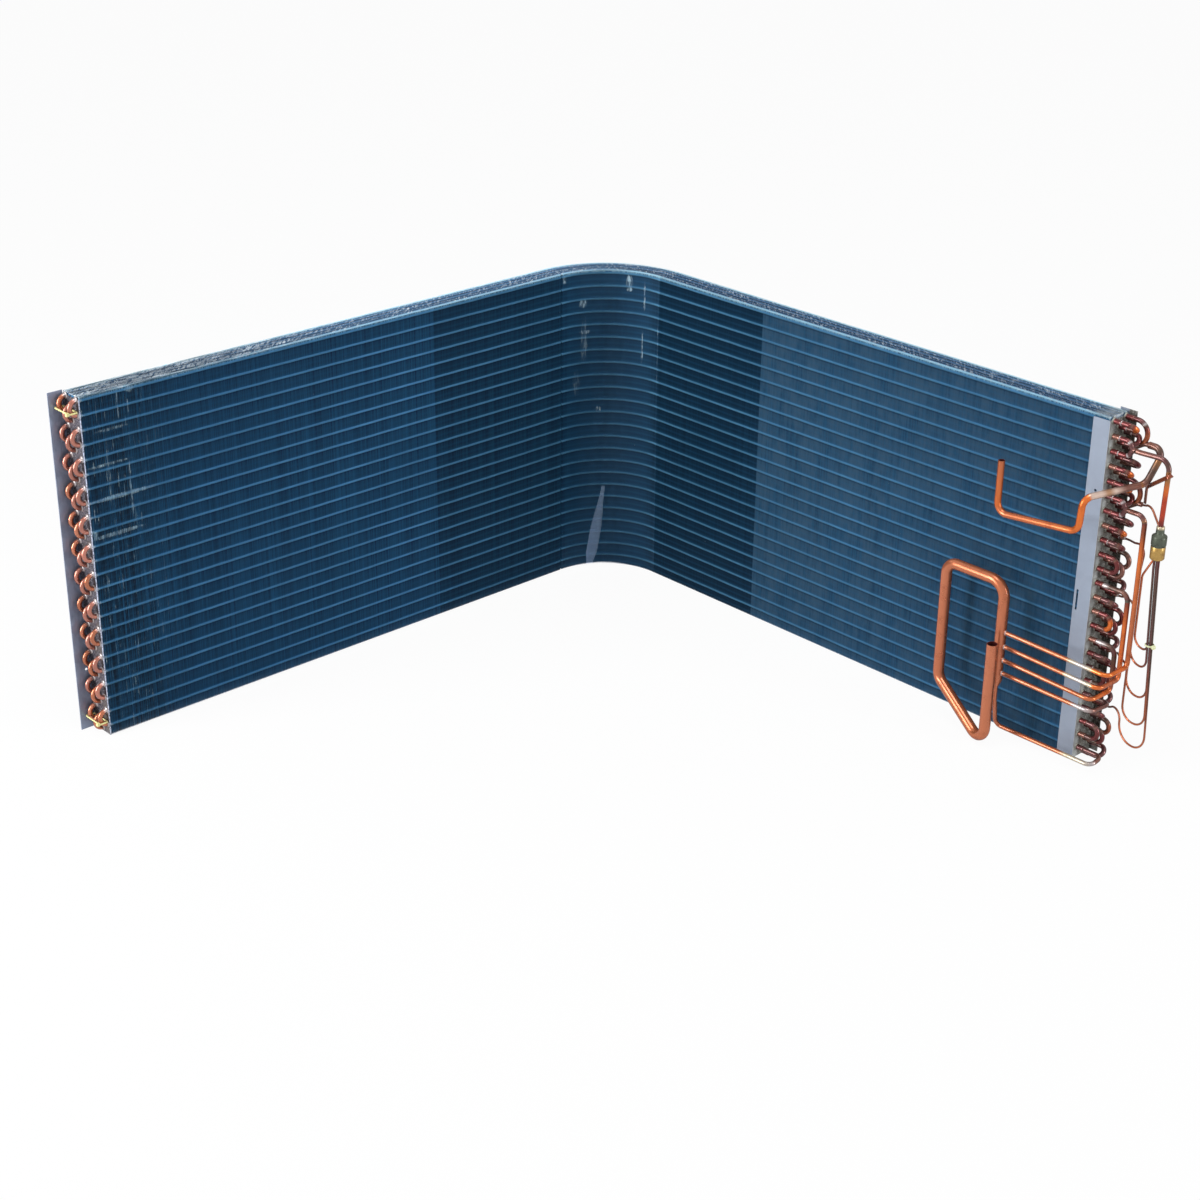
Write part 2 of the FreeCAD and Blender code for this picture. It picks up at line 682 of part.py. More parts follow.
def header():
    # Pipe with a spun-in foot, a wide loop and an open upper end; four holes take the branches.
    up = Vector(0, 0, 1)
    x = RIGHT_FACE + HEADER_X
    left = RIGHT_FACE + LOOP_X
    end = Vector(RIGHT_FACE + OPEN_X, -OPEN_FRONT, OPEN_TOP)
    points = [Vector(x, -HEADER_FRONT, HEADER_BOTTOM), Vector(x, -HEADER_FRONT, HEADER_TOP),
              Vector(left, -HEADER_FRONT, HEADER_TOP), Vector(left, -HEADER_FRONT, LOOP_LOW),
              Vector(end.x, end.y, OPEN_LOW), end - up * OPEN_SOCKET]
    bends = [HEADER_TOP_BEND, HEADER_BEND, HEADER_BEND, HEADER_BEND]
    pipe = tube(points, HEADER_RADIUS, bends, PIPE_SIDES, PIPE_STEP)
    pipe = with_socket(pipe, end, up, HEADER_RADIUS, HEADER_BORE, OPEN_SOCKET)
    ring = ring_points(points[0], up, HEADER_RADIUS, PIPE_SIDES)
    foot = points[0] - up * HEADER_CONE
    small = [foot + (p - points[0]) * HEADER_TIP for p in ring]
    pipe = pipe.fuse(skin([small, ring])).removeSplitter()
    holes = [tube([header_side(z), header_side(z) + Vector(3 * HEADER_RADIUS, 0, 0)],
                  BRANCH_RADIUS + HOLE_CLEARANCE, 1, BEND_SIDES, PIPE_STEP) for z in HEADER_HOLES]
    return pipe.cut(holes)


for index in range(3):
    save("riser_pipe_" + str(index + 1), [riser(index)])
for index in range(5):
    pipe = tube(branch_path(index), BRANCH_RADIUS, BRANCH_BEND, BEND_SIDES, PIPE_STEP)
    save("branch_pipe_" + str(index + 1), [pipe])
save("vapour_header", [header()])


# Brace strap and cable ties


def strap(points, side):
    # A flat strap folded at each point; side is the direction of its width at the start.
    direction = (points[1] - points[0]).normalize()
    wide = side.normalize() * (STRAP_WIDTH / 2)
    flat = direction.cross(side).normalize() * (STRAP_THICKNESS / 2)
    start = points[0]
    ring = [start + wide + flat, start - wide + flat, start - wide - flat, start + wide - flat]
    rings = [ring]
    for k in range(1, len(points)):
        after = direction
        if k + 1 < len(points):
            after = (points[k + 1] - points[k]).normalize()
        mitre = direction + after
        ring = [p + direction * ((points[k] - p).dot(mitre) / direction.dot(mitre)) for p in ring]
        rings.append(ring)
        direction = after
    return skin(rings)


def brace():
    # Flattened copper strap that hooks round the inlet pipe and ends above the lower rear fork.
    fork = fork_outlet(3, 5)
    pipe = Vector(RIGHT_FACE + INLET_X + INLET_LEAN, row_depth(1), BRACE_TOP)
    low = Vector(fork.x + BRACE_OUT, fork.y, fork.z + BRACE_FOOT)
    knee = Vector(low.x, low.y, BRACE_KNEE)
    gap = TUBE_RADIUS + STRAP_THICKNESS / 2 + BRACE_CLEAR
    across = Vector(pipe.x - knee.x, pipe.y - knee.y, 0)
    lean = math.degrees(math.asin(gap / across.Length))
    slope = FreeCAD.Rotation(Vector(0, 0, 1), -lean).multVec(across).normalize()
    aside = Vector(slope.y, -slope.x, 0)
    high = pipe + aside * gap + slope * (gap * (1 - aside.x) / slope.x)
    tip = high + Vector(0, BRACE_HOOK, 0)
    return strap([low, knee, high, tip], slope)


def hairpin_tie(first):
    # Band round the bends of one hairpin of each row, with its head at the inner row.
    middle = (tube_height(1, first) + tube_height(1, first + 1)) / 2 - TIE_DROP
    apex = LEFT_FACE - TUBE_PITCH / 2
    near = apex + TIE_NEAR
    far = apex - TIE_FAR
    left = -row_depth(3) - TUBE_RADIUS - TIE_GAP
    end = -row_depth(1) + TUBE_RADIUS + TIE_GAP
    outer = box(left - TIE_THICKNESS, far - TIE_THICKNESS, middle - TIE_WIDTH / 2,
                end + TIE_THICKNESS, near + TIE_THICKNESS, middle + TIE_WIDTH / 2)
    inner = box(left, far, middle - TIE_WIDTH, end, near, middle + TIE_WIDTH)
    head = box(end + TIE_THICKNESS, far - TIE_THICKNESS, middle - TIE_HEAD / 2,
               end + TIE_THICKNESS + TIE_HEAD, far + TIE_HEAD, middle + TIE_HEAD / 2)
    return outer.cut(inner).fuse(head).removeSplitter()


def bundle_tie():
    # Band round the five capillaries, with its head on the outer side.
    centre = bundle_point(0, TIE_HEIGHT)
    centre.x = centre.x - BUNDLE_RADIUS * math.cos(math.radians(BUNDLE_ANGLES[0]))
    centre.y = row_depth(1)
    inner = BUNDLE_RADIUS + CAPILLARY_RADIUS + BUNDLE_GAP
    up = Vector(0, 0, 1)
    band = skin([ring_points(centre + up * side * TIE_WIDTH, up, inner + TIE_THICKNESS, PIPE_SIDES)
                 for side in (-1, 1)])
    core = skin([ring_points(centre + up * side * 2 * TIE_WIDTH, up, inner, PIPE_SIDES)
                 for side in (-1, 1)])
    reach = centre.x + inner
    head = box(reach, centre.y - TIE_HEAD, centre.z - TIE_WIDTH,
               reach + TIE_HEAD, centre.y, centre.z + TIE_WIDTH)
    return band.fuse(head).cut(core).removeSplitter()


save("brace_strap", [brace()])
save("cable_tie_upper", [hairpin_tie(1)])
save("cable_tie_lower", [hairpin_tie(TUBES_PER_ROW - 1)])
save("capillary_tie", [bundle_tie()])


# Move zero to the middle of the base and write the files
everything = Part.makeCompound(list(nodes.values())).BoundBox
shift = Vector(-everything.Center.x, -everything.Center.y, 0)
for name, shape in nodes.items():
    shape.translate(shift)
    shape.exportStep("parts/" + name + ".step")
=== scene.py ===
"""Looks of an L-shaped, three-row condenser coil.

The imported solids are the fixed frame. The fins, bends, pipes, distributor, strap and ties are
modelled finer here and stand for their solids; the folded sheets keep theirs and get a finish.
Sizes are in metres, in the frame's own axes.
"""

import logging
import math
import random
from collections.abc import Callable
from dataclasses import dataclass, field
from enum import Enum

import bpy
from mathutils import Matrix, Vector


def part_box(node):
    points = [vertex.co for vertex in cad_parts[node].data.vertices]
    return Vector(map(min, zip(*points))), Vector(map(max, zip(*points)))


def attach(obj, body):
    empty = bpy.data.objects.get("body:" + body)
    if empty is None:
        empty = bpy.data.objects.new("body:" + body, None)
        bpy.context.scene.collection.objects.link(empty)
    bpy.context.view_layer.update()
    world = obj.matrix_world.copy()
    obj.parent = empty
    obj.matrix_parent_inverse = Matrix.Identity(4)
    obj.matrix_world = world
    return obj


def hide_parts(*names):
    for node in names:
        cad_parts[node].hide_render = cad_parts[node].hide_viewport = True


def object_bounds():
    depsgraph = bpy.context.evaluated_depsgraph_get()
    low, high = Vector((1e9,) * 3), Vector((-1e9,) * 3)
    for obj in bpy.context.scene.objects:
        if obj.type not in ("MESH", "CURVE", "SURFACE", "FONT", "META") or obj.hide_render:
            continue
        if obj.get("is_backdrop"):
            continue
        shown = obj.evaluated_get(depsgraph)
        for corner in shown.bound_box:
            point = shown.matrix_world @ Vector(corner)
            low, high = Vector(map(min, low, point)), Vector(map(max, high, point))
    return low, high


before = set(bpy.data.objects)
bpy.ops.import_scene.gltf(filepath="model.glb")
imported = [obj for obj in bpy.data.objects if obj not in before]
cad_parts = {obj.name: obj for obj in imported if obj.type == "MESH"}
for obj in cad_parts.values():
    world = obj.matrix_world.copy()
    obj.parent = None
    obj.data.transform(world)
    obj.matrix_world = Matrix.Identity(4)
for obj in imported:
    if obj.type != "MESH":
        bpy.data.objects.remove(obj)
log = logging.getLogger("condenser_coil")
MM = 0.001
UP = Vector((0.0, 0.0, 1.0))
OUT = Vector((1.0, 0.0, 0.0))
BACK = Vector((0.0, 1.0, 0.0))
Triple = tuple[float, float, float]
Piece = bpy.types.Object


# Shader building


def operator(operation: str, swapped: bool = False) -> Callable[..., "Signal"]:
    """Make a method of Signal that adds one Math node.

    Args:
        operation: The node's operation.
        swapped: Whether the other value comes first, so that 1 - mask works.

    Returns:
        The method.
    """
    def applied(signal: "Signal", other: object = 0.0) -> "Signal":
        """Add the node for this value and another."""
        first, second = (other, signal) if swapped else (signal, other)
        settings = {"operation": operation}
        return signal.recipe.node("ShaderNodeMath", settings, {0: first, 1: second})

    return applied


class Signal:
    """A node's output, with Python's operators as Math nodes."""

    __add__ = __radd__ = operator("ADD")
    __mul__ = __rmul__ = operator("MULTIPLY")
    __sub__ = operator("SUBTRACT")
    __rsub__ = operator("SUBTRACT", swapped=True)
    __truediv__ = operator("DIVIDE")
    __pow__ = operator("POWER")
    __abs__ = operator("ABSOLUTE")
    __gt__ = operator("GREATER_THAN")
    __lt__ = operator("LESS_THAN")
    at_least = operator("MAXIMUM")

    def __init__(self, recipe: "Recipe", socket: bpy.types.NodeSocket) -> None:
        """Wrap a socket of a recipe's node tree."""
        self.recipe = recipe
        self.socket = socket

    def wrap(self, span: float) -> "Signal":
        """The rest after whole spans, from 0 to the span."""
        settings = {"operation": "WRAP"}
        return self.recipe.node("ShaderNodeMath", settings, {0: self, 1: span, 2: 0.0})

    def fade(self, low: float, high: float) -> "Signal":
        """A smooth step from 0 at low to 1 at high.

        Args:
            low: Value that gives 0.
            high: Value that gives 1; below low, the step falls.

        Returns:
            The step's signal.
        """
        rising = low < high
        ends = {"Value": self, "From Min": min(low, high), "From Max": max(low, high),
                "To Min": 0.0 if rising else 1.0, "To Max": 1.0 if rising else 0.0}
        return self.recipe.node("ShaderNodeMapRange", {"interpolation_type": "SMOOTHSTEP"}, ends)


class Recipe:
    """The node tree of one material or of the world."""

    def __init__(self, owner: bpy.types.Material | bpy.types.World) -> None:
        """Start with an empty tree."""
        self.owner = owner
        owner.use_nodes = True
        self.tree = owner.node_tree
        self.tree.nodes.clear()

    def node(self, kind: str, settings: dict, sockets: dict, output: object = 0) -> Signal:
        """Add a node.

        Args:
            kind: The node's type.
            settings: Its properties; "stops" holds a ramp's positions and colours.
            sockets: Values or signals of its inputs, by name or place.
            output: Name or place of the output that is wanted.

        Returns:
            That output as a signal.
        """
        made = self.tree.nodes.new(kind)
        for key, value in settings.items():
            if key != "stops":
                setattr(made, key, value)
                continue
            ramp = made.color_ramp
            while len(ramp.elements) < len(value):
                ramp.elements.new(0.5)
            for element, (place, colour) in zip(ramp.elements, value):
                element.position = place
                element.color = (*colour, 1.0) if len(colour) == 3 else colour
        for key, value in sockets.items():
            if isinstance(value, Signal):
                self.tree.links.new(value.socket, made.inputs[key])
            elif isinstance(value, tuple) and len(value) == 3 and made.inputs[key].type == "RGBA":
                made.inputs[key].default_value = (*value, 1.0)
            else:
                made.inputs[key].default_value = value
        return Signal(self, made.outputs[output])

    def place(self) -> Signal:
        """Object coordinates."""
        return self.node("ShaderNodeTexCoord", {}, {}, "Object")

    def axes(self, vector: Signal) -> tuple[Signal, Signal, Signal]:
        """The three parts of a vector."""
        return tuple(self.node("ShaderNodeSeparateXYZ", {}, {0: vector}, axis) for axis in "XYZ")

    def noise(self, vector: Signal, scale: float, detail: float = 2.0,
              rough: float = 0.5) -> Signal:
        """Cloudy noise from 0 to 1."""
        sockets = {"Vector": vector, "Scale": scale, "Detail": detail, "Roughness": rough}
        return self.node("ShaderNodeTexNoise", {}, sockets, "Fac")

    def streaks(self, vector: Signal, scale: Triple, detail: float = 2.0,
                rough: float = 0.5) -> Signal:
        """Noise with a scale of its own along each axis."""
        drawn = self.node("ShaderNodeMapping", {}, {"Vector": vector, "Scale": scale}, "Vector")
        return self.noise(drawn, 1.0, detail, rough)

    def crystals(self, vector: Signal, scale: float) -> Signal:
        """One random number for each Voronoi cell."""
        colour = self.node("ShaderNodeTexVoronoi", {}, {"Vector": vector, "Scale": scale}, "Color")
        return self.node("ShaderNodeSeparateColor", {}, {0: colour}, 0)

    def blend(self, factor: object, first: object, second: object) -> Signal:
        """Mix two colours."""
        sockets = {0: factor, 6: first, 7: second}
        return self.node("ShaderNodeMix", {"data_type": "RGBA"}, sockets, 2)

    def bump(self, height: Signal, strength: float, distance: float) -> Signal:
        """A Bump node's normal."""
        sockets = {"Height": height, "Strength": strength, "Distance": distance}
        return self.node("ShaderNodeBump", {}, sockets, "Normal")

    def clamped(self, value: Signal) -> Signal:
        """A value kept from 0 to 1."""
        return self.node("ShaderNodeClamp", {}, {0: value})

    def apart(self, vector: Signal, middle: Triple, reach: Triple) -> Signal:
        """Distance from a point, with each axis measured in its own reach.

        Args:
            vector: The place that is looked at.
            middle: The point.
            reach: The length that counts as one along each axis.

        Returns:
            The distance, 1 at the reach.
        """
        value = self.node("ShaderNodeVectorMath", {"operation": "SUBTRACT"}, {0: vector, 1: middle})
        value = self.node("ShaderNodeVectorMath", {"operation": "DIVIDE"}, {0: value, 1: reach})
        return self.node("ShaderNodeVectorMath", {"operation": "LENGTH"}, {0: value}, "Value")

    def unlit(self, *kinds: str) -> Signal:
        """One on rays of those kinds, which see the plain white background."""
        rays = [self.node("ShaderNodeLightPath", {}, {}, f"Is {kind} Ray") for kind in kinds]
        return self.clamped(sum(rays[1:], rays[0]))

    def finish(self, sockets: dict) -> bpy.types.Material:
        """Add the surface shader with those sockets and the output."""
        return self.output(self.node("ShaderNodeBsdfPrincipled", {}, sockets, "BSDF"))

    def output(self, shader: Signal) -> bpy.types.Material | bpy.types.World:
        """Link a shader to the tree's output.

        Args:
            shader: The shader.

        Returns:
            The tree's owner.
        """
        kind = "World" if isinstance(self.owner, bpy.types.World) else "Material"
        made = self.tree.nodes.new(f"ShaderNodeOutput{kind}")
        self.tree.links.new(shader.socket, made.inputs["Surface"])
        return self.owner


# Finishes


class Tone(Enum):
    """Colours that copper takes from bending, torch and flux: red, green, blue, roughness. The pale
    pearl tone is a painted highlight.
    """

    ROSE = (0.42, 0.150, 0.105, 0.28)
    SALMON = (0.50, 0.165, 0.085, 0.26)
    COPPER = (0.44, 0.130, 0.056, 0.26)
    ORANGE = (0.64, 0.150, 0.030, 0.24)
    RED = (0.40, 0.050, 0.022, 0.24)
    BURNT = (0.26, 0.072, 0.034, 0.28)
    CLARET = (0.135, 0.030, 0.030, 0.26)
    PLUM = (0.120, 0.050, 0.050, 0.28)
    MAUVE = (0.215, 0.098, 0.074, 0.26)
    UMBER = (0.09, 0.055, 0.042, 0.46)
    SILVER = (0.46, 0.420, 0.420, 0.30)
    # A painted highlight, used on the liquid pipe's crossing.
    PEARL = (0.56, 0.420, 0.350, 0.24)
    CREAM = (0.50, 0.420, 0.290, 0.38)
    FLUX = (0.085, 0.098, 0.075, 0.55)
    GOLD = (0.42, 0.260, 0.080, 0.36)
    BRONZE = (0.30, 0.135, 0.052, 0.26)
    ZINC = (0.34, 0.345, 0.300, 0.50)


Stops = list[tuple[float, Tone]]


def stops(text: str) -> Stops:
    """Read a row of tones along a length.

    Args:
        text: For each stop, its place in percent of the length and its tone's name.

    Returns:
        The stops, with their places from 0 to 1.
    """
    words = text.split()
    return [(float(share) / 100, Tone[name]) for share, name in zip(words[::2], words[1::2])]


def stations(text: str) -> list[tuple[float, float, Tone]]:
    """Read the rings of a turned piece.

    Args:
        text: For each ring, its distance along the axis and its radius in mm, and its tone's name.

    Returns:
        The rings.
    """
    words = text.split()
    return [(float(distance), float(radius), Tone[name])
            for distance, radius, name in zip(words[::3], words[1::3], words[2::3])]


def tone_at(row: Stops, share: float) -> tuple[float, ...]:
    """Find the colour at a share of the length.

    Args:
        row: The stops along the length.
        share: The place, from 0 to 1.

    Returns:
        Red, green, blue and roughness there.
    """
    before = row[0]
    for after in row:
        if after[0] >= share:
            span = max(after[0] - before[0], 1e-6)
            t = min(1.0, max(0.0, (share - before[0]) / span))
            return tuple(a + (b - a) * t for a, b in zip(before[1].value, after[1].value))
        before = after
    return before[1].value


@dataclass(frozen=True)
class Copper:
    """Copper in the tone painted on the piece, with stains, a drawn grain and darker edges."""

    name: str = "copper"
    metal: float = 0.55
    stain_scale: float = 80.0
    staining: float = 0.5
    stain: Triple = (0.48, 0.40, 0.40)
    speck: Triple = (0.70, 0.46, 0.36)
    film: float = 0.3
    rim: Triple = (0.10, 0.035, 0.025)

    def material(self) -> bpy.types.Material:
        """Build the material.

        Returns:
            The material.
        """
        r = Recipe(bpy.data.materials.new(self.name))
        place = r.place()
        painted = r.node("ShaderNodeAttribute", {"attribute_name": "tone"}, {}, "Color")
        gloss = r.node("ShaderNodeAttribute", {"attribute_name": "tone"}, {}, "Alpha")
        cloud = r.noise(place, self.stain_scale, 3.0, 0.55)
        fine = r.noise(place, self.stain_scale * 9, 2.0, 0.6)
        stained = {0: cloud.fade(0.48, 0.78) * self.staining, 6: painted, 7: self.stain}
        dark = r.node("ShaderNodeMix", {"data_type": "RGBA", "blend_type": "MULTIPLY"}, stained, 2)
        return r.finish({"Base Color": r.blend(fine.fade(0.68, 0.88) * 0.05, dark, self.speck),
                         "Metallic": self.metal, "Roughness": gloss + (cloud - 0.5) * 0.16,
                         "Coat Weight": self.film, "Coat Roughness": 0.10,
                         "Specular IOR Level": 0.35, "Specular Tint": self.rim,
                         "Normal": r.bump(fine * 0.3 + cloud, 0.04, 0.0004)})


@dataclass(frozen=True)
class Scuff:
    """A worn patch on the fins: its middle, its reach along each axis and its strength."""

    middle: Triple
    reach: Triple
    strength: float


@dataclass(frozen=True)
class CoatedFins:
    """Blue-coated fins: a bright line at each tube as painted sky reflection, zones of painted
    shade and light, upper edges with painted highlights and shade, worn edges and scuffs.
    """

    name: str
    corner: Vector
    phase: float = 5.25 * MM
    scuffs: tuple[Scuff, ...] = ()
    coat: Triple = (0.044, 0.210, 0.410)
    deep: Triple = (0.015, 0.072, 0.160)
    # Painted light with dust: the lighter, hatched zone past right_zone, where the lamp is not
    # blocked by the other leg.
    lit_and_dusty: Triple = (0.110, 0.235, 0.365)
    # Painted shadow: the darker zone near the corner, where each leg shades the other.
    bent: Triple = (0.004, 0.040, 0.092)
    # Painted sky reflection and highlight round each tube line, and painted shade just below it.
    halo: Triple = (0.050, 0.300, 0.600)
    band: Triple = (0.240, 0.660, 1.000)
    shade_below_line: Triple = (0.004, 0.022, 0.050)
    # Painted shade over the corner bend.
    arc: Triple = (0.018, 0.100, 0.215)
    bare: Triple = (0.68, 0.90, 1.00)
    rubbed: Triple = (0.480, 0.680, 0.960)
    # White of the painted highlights and glints.
    white: Triple = (0.86, 0.95, 1.0)
    # Painted shadow in the gaps between the fins near the left end.
    end_shadow: Triple = (0.012, 0.020, 0.030)
    # Painted highlight along the top front edge.
    lip: Triple = (0.50, 0.85, 1.00)
    silver: Triple = (0.60, 0.66, 0.68)
    pitch: float = 21.0 * MM
    row_pitch: float = 13.4 * MM
    height: float = 504.0 * MM
    depth: float = 40.2 * MM
    bend: float = 107.0 * MM
    left_zone: float = 362.0 * MM
    right_zone: float = 330.0 * MM
    left_leg: float = 960.0 * MM
    right_leg: float = 949.0 * MM

    def behind(self, x: Signal, y: Signal) -> tuple[Signal, Signal]:
        """Measure how far behind the coil's inner face a place lies.

        Args:
            x: The place along X.
            y: The place along Y.

        Returns:
            The distance behind the inner face, and a mask of the corner bend.
        """
        across = (self.corner.x + self.bend - x).at_least(0.0)
        back = (y - self.corner.y + self.bend).at_least(0.0)
        return (across * across + back * back) ** 0.5 - self.bend, (across * back).fade(0.0, 0.0030)

    def torn_streak(self, x: Signal, y: Signal, z: Signal) -> Signal:
        """The tall rubbed streak at the foot of the bend, which narrows and leans upwards.

        Args:
            x: The place along X.
            y: The place along Y.
            z: The place along Z.

        Returns:
            A mask of the streak.
        """
        along = x * 0.68 + y * 0.733
        middle = z * 0.16 - 31.0 * MM
        half = z.fade(0.0, 24.0 * MM) * 3.5 * MM + z.fade(135.0 * MM, 55.0 * MM) * 6.0 * MM
        edge = (half - abs(along - middle)).fade(0.2 * MM, 1.0 * MM)
        return edge * z.fade(140.0 * MM, 136.0 * MM)

    def crown(self, r: Recipe, behind: Signal, run: Signal, worn: Signal) -> Signal:
        """Colour of the fins' upper edges: dark blue rows with painted shade in the gaps, white
        streaks as painted glints and bright rims as painted highlights.

        Args:
            r: The material's recipe.
            behind: Distance behind the inner face.
            run: Distance along the coil.
            worn: One towards the left end, where the edges are rubbed most and the crown gets more
                painted shade and painted glints.

        Returns:
            The colour.
        """
        spread = r.node("ShaderNodeCombineXYZ", {}, {0: behind * 0.5, 1: run, 2: 0.0})
        dash = r.noise(spread, 190.0, 3.0, 0.7)
        share = (behind + (dash - 0.5) * 2.4 * MM) / self.depth
        # Painted highlights on the front and back rims, painted shade in the gaps between the rows.
        pale, mid, dim = (0.55, 0.86, 1.00), (0.150, 0.340, 0.590), (0.050, 0.110, 0.210)
        gap = (0.003, 0.007, 0.018)
        ramp = [(0.0, pale), (0.07, pale), (0.10, mid), (0.15, mid), (0.19, gap), (0.23, dim),
                (0.30, mid), (0.34, gap), (0.38, dim), (0.50, mid), (0.61, dim), (0.65, gap),
                (0.70, mid), (0.80, mid), (0.84, gap), (0.88, pale), (1.0, pale)]
        colour = r.node("ShaderNodeValToRGB", {"stops": ramp}, {0: share})
        # White streaks are painted glints; towards the left end the crown gets more painted shade
        # and more glints.
        rows = r.node("ShaderNodeCombineXYZ", {}, {0: behind, 1: run * 0.03, 2: 0.0})
        streak = r.noise(rows, 620.0, 1.0, 0.5).fade(0.46, 0.60)
        colour = r.blend(worn * (1 - streak) * 0.75, colour, gap)
        return r.blend(streak * (dash + worn * 0.08).fade(0.50, 0.58), colour, self.white)

    def wear(self, r: Recipe, place: Signal, behind: Signal) -> Signal:
        """Scratches near the left end, specks on the lower edges and the named scuffs.

        Args:
            r: The material's recipe.
            place: Object coordinates.
            behind: Distance behind the inner face.

        Returns:
            A mask of what is worn bare.
        """
        _, y, z = r.axes(place)
        end = (self.corner.y - y).fade(self.left_leg - 140 * MM, self.left_leg - 60 * MM)
        scratch = r.streaks(place, (420.0, 420.0, 20.0), 3.0, 0.7)
        ticks = r.streaks(place, (330.0, 330.0, 70.0), 2.0, 0.6).fade(0.50, 0.60)
        speck = r.noise(place, 240.0, 3.0, 0.7)
        marks = scratch.fade(0.64, 0.67) * end
        marks = marks + z.fade(2.2 * MM, 0.4 * MM) * speck.fade(0.62, 0.68)
        marks = marks + speck.fade(0.74, 0.77) * 0.7
        front = behind.fade(4.0 * MM, 2.0 * MM)
        for scuff in self.scuffs:
            apart = r.apart(place, scuff.middle, scuff.reach)
            marks = marks + apart.fade(1.0, 0.5) * (ticks * 0.9 + 0.1) * front * scuff.strength
        return r.clamped(marks)

    def material(self) -> bpy.types.Material:
        """Build the material: zones of painted shade and light, the lines at the tubes as painted
        reflection, the upper edges with painted highlights, then the worn edges.

        Returns:
            The material.
        """
        r = Recipe(bpy.data.materials.new(self.name))
        place = r.place()
        x, y, z = r.axes(place)
        left, right = self.corner.y - y, x - self.corner.x
        behind, turn = self.behind(x, y)
        comb = r.streaks(place, (420.0, 420.0, 2.2), 2.0, 0.7)
        cloud = r.noise(place, 7.0, 3.0, 0.6)
        hatch = r.streaks(place, (230.0, 230.0, 45.0), 2.0, 0.6).fade(0.36, 0.60)
        patch = r.streaks(place, (34.0, 34.0, 14.0), 3.0, 0.6).fade(0.38, 0.60)
        inner = behind < self.row_pitch
        # beyond marks the zone of painted light, inside the zone of painted shadow.
        beyond = (x > self.corner.x + self.right_zone) * inner
        inside = (x < self.corner.x + self.right_zone) * (y > self.corner.y - self.left_zone)
        inside = inside * inner

        body = r.blend(comb.fade(0.32, 0.68), self.deep, self.coat)
        # Painted light: the zone past right_zone is lighter, with dusty hatching and patches.
        body = r.blend(beyond * (0.26 + hatch * 0.32 + patch * 0.36), body, self.lit_and_dusty)
        # Painted shadow of the other leg over the zone inside right_zone and left_zone.
        shaded = 0.55 + right.fade(40.0 * MM, 110.0 * MM) * 0.26
        body = r.blend(inside * shaded, body, self.bent)
        # Painted shade, darker still, over the corner bend.
        body = r.blend(turn * inner * (0.70 + comb * 0.3), body, self.arc)
        # Painted shadow: dark streaks between the fins near the left end.
        end = left.fade(self.left_leg - 160 * MM, self.left_leg - 40 * MM)
        body = r.blend(end * comb.fade(0.56, 0.44) * 0.7, body, self.end_shadow)

        # Painted sky reflection and highlight at each tube line and painted shade just below it;
        # the lines are weaker in the zones of painted shade and white at the left end as painted
        # highlight.
        ripple = (r.noise(place, 30.0, 1.0) - 0.5) * 0.6 * MM
        level = (z + self.phase + ripple).wrap(self.pitch)
        off = abs(level - self.pitch / 2)
        glow = level.fade(9.0 * MM, 0.5 * MM)
        body = r.blend(glow * glow * 0.36 + off.fade(2.6 * MM, 0.6 * MM) * 0.14, body, self.halo)
        below = level.fade(self.pitch - 5.5 * MM, self.pitch - 2.2 * MM)
        body = r.blend(below * 0.5, body, self.shade_below_line)
        line = off.fade(8.2 * MM, 9.8 * MM) * (0.45 + cloud * 0.6)
        body = r.blend(line * (1 - beyond * 0.2 - turn * 0.35 - inside * 0.1), body, self.band)
        rim = left.fade(self.left_leg - 6.0 * MM, self.left_leg - 2.0 * MM)
        body = r.blend(line * rim, body, self.white)

        # Painted highlight along the top front edge; the top takes the crown's painted highlights
        # and shade.
        upper = z.fade(self.height - 4.6 * MM, self.height - 2.4 * MM)
        upper = upper * behind.fade(2.0 * MM, 0.8 * MM)
        body = r.blend(upper * comb.fade(0.36, 0.60), body, self.lip)
        top = z.fade(self.height - 2.2 * MM, self.height - 1.2 * MM)
        worn = left.fade(self.left_leg - 480 * MM, self.left_leg - 120 * MM)
        body = r.blend(top, body, self.crown(r, behind, x + y, worn))
        tip = right.fade(self.right_leg - 3.0 * MM, self.right_leg - 1.5 * MM)
        silvery = top * right.fade(self.right_leg - 42 * MM, self.right_leg - 8 * MM)
        silvery = silvery + tip * z.fade(self.height - 7.0 * MM, self.height - 5.0 * MM)
        body = r.blend(r.clamped(silvery) * (0.35 + hatch * 0.5), body, self.silver)
        if self.scuffs:
            torn = self.torn_streak(x, y, z) * behind.fade(4.0 * MM, 2.0 * MM)
            body = r.blend(torn * (0.7 + comb * 0.6), body, self.rubbed)
        colour = r.blend(self.wear(r, place, behind), body, self.bare)
        return r.finish({"Base Color": colour, "Metallic": 0.10, "Roughness": 0.50 + cloud * 0.15,
                         "Normal": r.bump(comb, 0.12, 0.0005)})


@dataclass(frozen=True)
class Sleeve:
    """The dull blue collars that the fins leave round the tubes."""

    name: str
    colour: Triple = (0.012, 0.050, 0.100)

    def material(self) -> bpy.types.Material:
        """Build the material.

        Returns:
            The material.
        """
        r = Recipe(bpy.data.materials.new(self.name))
        cloud = r.noise(r.place(), 120.0, 2.0)
        colour = r.blend(cloud, self.colour, tuple(c * 2.2 for c in self.colour))
        return r.finish({"Base Color": colour, "Roughness": 0.65 + cloud * 0.2,
                         "Specular IOR Level": 0.2, "Normal": r.bump(cloud, 0.1, 0.0004)})


